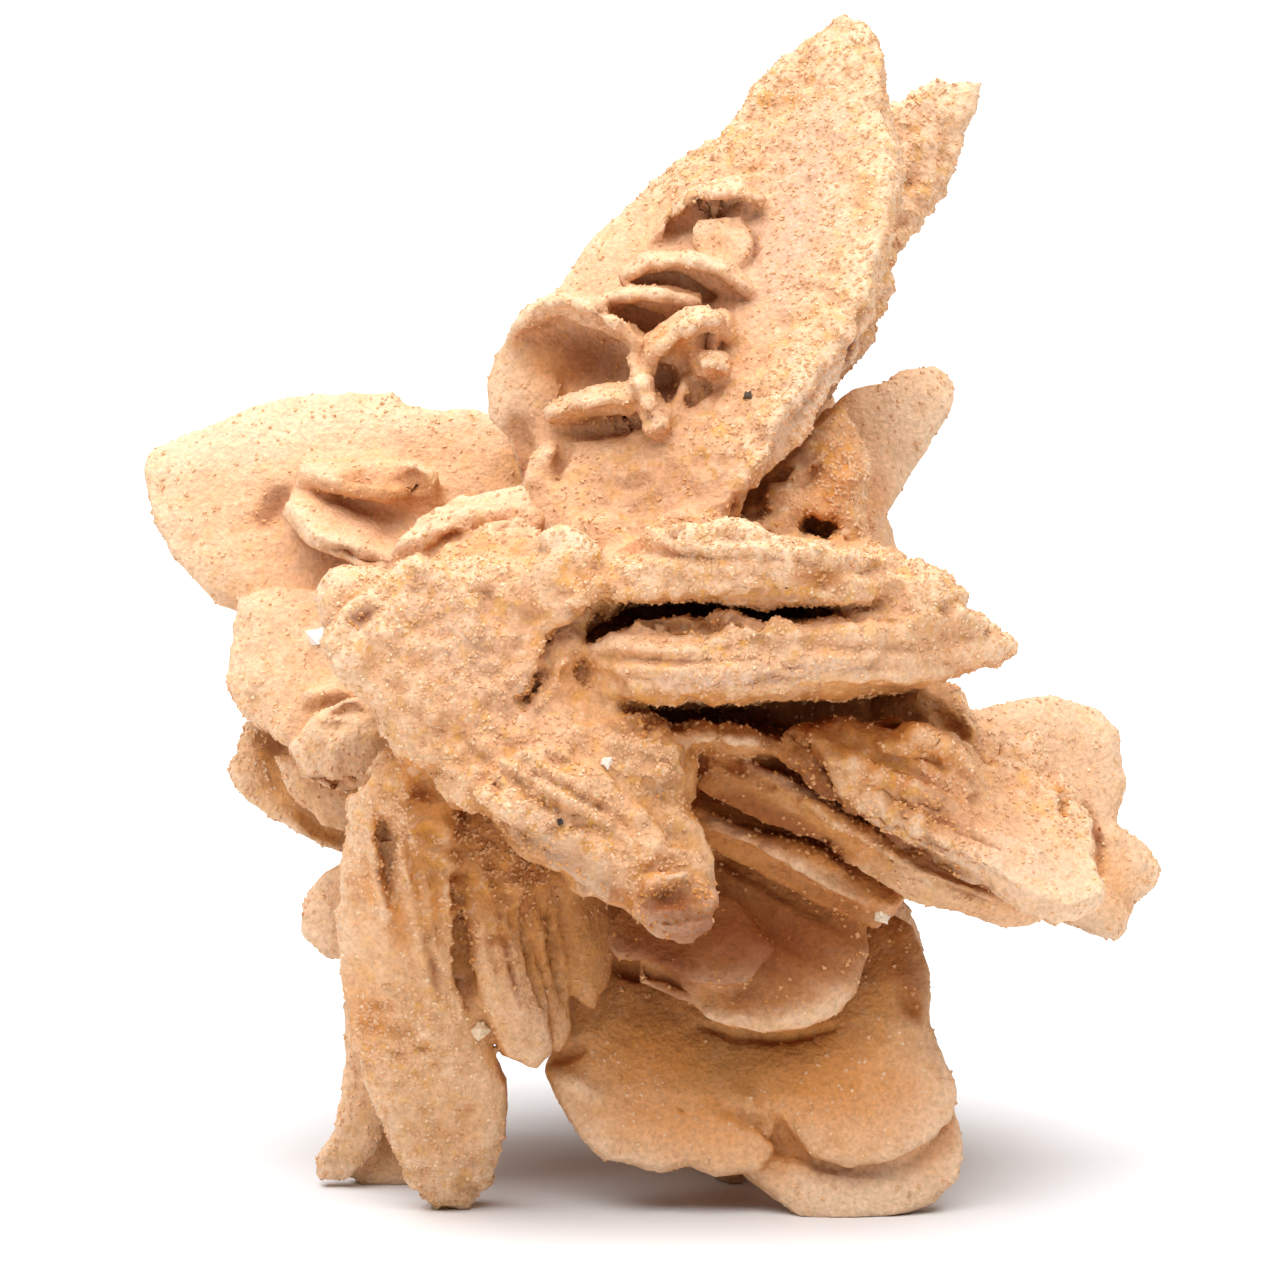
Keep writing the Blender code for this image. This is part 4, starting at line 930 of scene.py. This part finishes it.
def sandy_gypsum():
    """Matt tan gypsum full of sand: blotches, grains, pale rims that are partly wear and mostly painted
    highlight, and painted shade in rust and brown in the hollows and under overhangs.
    """
    m = Shading("sandy_gypsum_fine")
    base = TAN
    for colour, size, detail, *stops in BLOTCHES:
        base = m.mixed(base, colour, m.ramp(m.noise(size, detail), *stops))
    for colour, name, *stops in UNDER_CRUST:
        base = m.mixed(base, colour, m.ramp(m.measure(name), *stops))
    base = crust(m, base, m.measure("rough"))
    for colour, name, *stops in OVER_CRUST:
        base = m.mixed(base, colour, m.ramp(m.measure(name), *stops))
    grain = m.ramp(m.noise(0.25, roughness=0.6), (0.3, 0.84), (0.5, 1.0), (0.7, 1.14))
    base = m.mixed(base, grain, 1.0, "MULTIPLY")
    m.join(base, m.shader.inputs["Base Color"])
    m.shader.inputs["Roughness"].default_value = 0.7
    m.shader.inputs["Specular IOR Level"].default_value = 0.18
    coarse = m.bump(m.noise(0.5), 0.2, 0.7)
    fine = m.bump(m.noise(0.2), 0.1, 0.8, below=coarse)
    m.join(fine, m.shader.inputs["Normal"])
    return m.material


def declared(name, mesh, material):
    """Piece of the rose with one material, in place of the plain solid."""
    mesh.materials.clear()
    mesh.materials.append(material)
    piece = linked(name, mesh)
    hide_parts("sand_rose")
    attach(piece, "root")
    return piece


def add_measures(mesh):
    """Stores what colours and grains follow: crowding, shelter, roughness, layers and strokes.

    Crowding and shelter from above set painted shade in hollows and under overhangs and painted highlight
    on open rims; with the painted shade strokes they make the shade level that picks the grains' colours.
    """
    places, out = corners(mesh), facings(mesh)
    space = Crowding(mesh)
    looks = [space.at(places + out * away, reach) for away, reach in (CLOSE_LOOK, WIDE_LOOK)]
    crowding = 0.5 * looks[0] + 0.5 * looks[1]
    away, reach = SKY_LOOK
    shelter = space.at(places + out * away + np.array((0.0, 0.0, SKY_LIFT)), reach)
    search = corner_tree(mesh)
    grooves = touches(mesh, search, [(line, width, 1.0) for line, width, _ in GROOVES])
    # Painted shade in a rust colour: every groove, and the painted shade strokes.
    stain = np.maximum(grooves, touches(mesh, search, PAINTED_SHADE_STROKES))
    # Shade level: painted shade from crowding, shelter from above and the painted shade strokes.
    shade_level = np.clip(np.maximum(1.2 * crowding, np.maximum(shelter, 1.1 * stain)), 0.0, 1.0)
    add_measure(mesh, "crowding", crowding)
    add_measure(mesh, "shelter", shelter)
    add_measure(mesh, "rough", roughness(places))
    add_measure(mesh, "stain", stain)
    add_measure(mesh, "layer", 0.5 + 0.5 * layers(places))
    for name, marks in (("pale", PALE_AND_HIGHLIGHT_MARKS), ("grey", GREY_MARKS), ("warm", WARM_MARKS)):
        add_measure(mesh, name, touches(mesh, search, marks))
    add_measure(mesh, "shade_level", shade_level)


def rose_surface():
    """The whole rose's fine surface."""
    mesh = remeshed(crusted_solid(), VOXEL)
    carved(mesh)
    weathered(mesh)
    mesh = lighter(mesh, SURFACE_TRIANGLES)
    mesh.shade_smooth()
    add_measures(mesh)
    return declared("rose_surface", mesh, sandy_gypsum())


def plain_material(name, colour, roughness, gloss):
    """Material of one colour."""
    material = bpy.data.materials.new(name)
    material.use_nodes = True
    shader = material.node_tree.nodes["Principled BSDF"]
    shader.inputs["Base Color"].default_value = (*colour, 1.0)
    shader.inputs["Roughness"].default_value = roughness
    shader.inputs["Specular IOR Level"].default_value = gloss
    return material


def crystal_material(name, colour, roughness):
    """Slightly glossy mineral of one colour."""
    return plain_material(name, colour, roughness, 0.3)


def scattered(surface, count, draws):
    """Random spots on a mesh, closer together where it is rough: places in mm, facings, and the painted
    shade level there.
    """
    mesh = surface.data
    faces = triangles(mesh)
    a, b, c = (corners(mesh)[faces[n::3]] for n in range(3))
    cross = np.cross(b - a, c - a)
    area = np.linalg.norm(cross, axis=1)
    weight = area * (0.1 + measured(mesh, "rough")[faces[0::3]])
    chosen = draws.choice(len(area), size=count, p=weight / weight.sum())
    u, v = draws.random((2, count, 1))
    fold = np.where(u + v > 1.0, 1.0, 0.0)
    u, v = u + fold * (1.0 - 2.0 * u), v + fold * (1.0 - 2.0 * v)
    spots = a[chosen] + u * (b - a)[chosen] + v * (c - a)[chosen]
    return spots, cross[chosen] / area[chosen, None], measured(mesh, "shade_level")[faces[0::3][chosen]]


def turned_crystals(spots, radii, draws):
    """Mesh of small uneven eight-faced crystals, each turned its own way; spots and radii in mm."""
    count = len(spots)
    frames = np.linalg.qr(draws.normal(size=(count, 3, 3)))[0]
    frames[:, :, 2] *= np.sign(np.linalg.det(frames))[:, None]
    tips = np.array(((1, 0, 0), (0, 1, 0), (-1, 0, 0), (0, -1, 0), (0, 0, 1), (0, 0, -1)), dtype=float)
    lengths = radii[:, None, None] * draws.uniform(0.65, 1.25, (count, 6, 1))
    points = spots[:, None, :] + np.einsum("nij,tj->nti", frames, tips) * lengths
    points[:, :, 2] = np.maximum(points[:, :, 2], 0.0)
    around = [(0, 1, 4), (1, 2, 4), (2, 3, 4), (3, 0, 4), (1, 0, 5), (2, 1, 5), (3, 2, 5), (0, 3, 5)]
    faces = (np.arange(count)[:, None, None] * 6 + np.array(around)).reshape(-1, 3)
    mesh = bpy.data.meshes.new("crystals")
    mesh.from_pydata((points.reshape(-1, 3) * MM).tolist(), [], faces.tolist())
    return mesh


def grains(surface):
    """Sand grains and small crystals on the surface, pale ones outside and dark ones in hollows, as painted
    light and shade.
    """
    lowest = 0.3
    sinking = 0.15
    draws = np.random.default_rng(7)
    for name, (share, radius, colour, roughness, (low, high)) in GRAIN_SORTS.items():
        spots, out, shade_level = scattered(surface, int(2 * GRAINS * share * GRAIN_SHARE), draws)
        wanted = int(GRAINS * share * GRAIN_SHARE)
        fitting = (shade_level >= low) & (shade_level <= high) & (spots[:, 2] > lowest)
        kept = np.flatnonzero(fitting)[:wanted]
        radii = radius * draws.uniform(0.7, 1.25, len(kept))
        sunk = spots[kept] - out[kept] * radii[:, None] * sinking
        mesh = turned_crystals(sunk, radii, draws)
        declared(name, mesh, crystal_material(name, colour, roughness))


def chips():
    """The few single bits of mineral that catch the eye, each of four crystals grown through each other."""
    grown = 4
    draws = np.random.default_rng(11)
    for name, (spot, radius, colour) in CHIPS.items():
        middle = np.array([crusted.spot(*spot)]) / MM
        radii = radius * draws.uniform(0.7, 1.0, grown)
        mesh = turned_crystals(np.repeat(middle, grown, axis=0), radii, draws)
        declared(name, mesh, crystal_material(name, colour, 0.4))


def floor():
    """Large pale floor."""
    mesh = bmesh.new()
    bmesh.ops.create_grid(mesh, x_segments=1, y_segments=1, size=FLOOR_SIZE)
    data = bpy.data.meshes.new("floor")
    mesh.to_mesh(data)
    mesh.free()
    data.materials.append(plain_material("white_board", FLOOR_COLOUR, 0.6, 0.5))
    made = linked("floor", data)


def studio():
    """White surroundings, dimmer as a light than they look, with one broad light above."""
    world = bpy.data.worlds.new("white_room")
    bpy.context.scene.world = world
    world.use_nodes = True
    nodes, links = world.node_tree.nodes, world.node_tree.links
    fill = nodes["Background"]
    fill.inputs["Color"].default_value = (1.0, 1.0, 1.0, 1.0)
    fill.inputs["Strength"].default_value = FILL
    backdrop = nodes.new("ShaderNodeBackground")
    backdrop.inputs["Strength"].default_value = BACKDROP
    ray = nodes.new("ShaderNodeLightPath")
    mix = nodes.new("ShaderNodeMixShader")
    links.new(ray.outputs["Is Camera Ray"], mix.inputs["Fac"])
    links.new(fill.outputs["Background"], mix.inputs[1])
    links.new(backdrop.outputs["Background"], mix.inputs[2])
    links.new(mix.outputs["Shader"], nodes["World Output"].inputs["Surface"])
    tent = bpy.data.lights.new("tent", "SUN")
    tent.energy = TENT
    tent.angle = TENT_SPREAD
    lamp = linked("tent", tent)
    lamp.rotation_euler = (-Vector(TENT_SIDE)).to_track_quat("-Z", "Y").to_euler()
    bpy.context.scene.view_settings.view_transform = "Standard"


def camera():
    """Long lens on the line of sight."""
    data = bpy.data.cameras.new("camera")
    data.sensor_width = SENSOR_WIDTH
    data.lens = data.sensor_width * SIGHT_DISTANCE / VIEW_WIDTH
    data.clip_start = 0.01
    made = linked("camera", data)
    made.location = EYE
    made.rotation_euler = (math.pi / 2 - SIGHT_PITCH, 0.0, 0.0)
    bpy.context.scene.camera = made


camera()
floor()
studio()
grains(rose_surface())
chips()
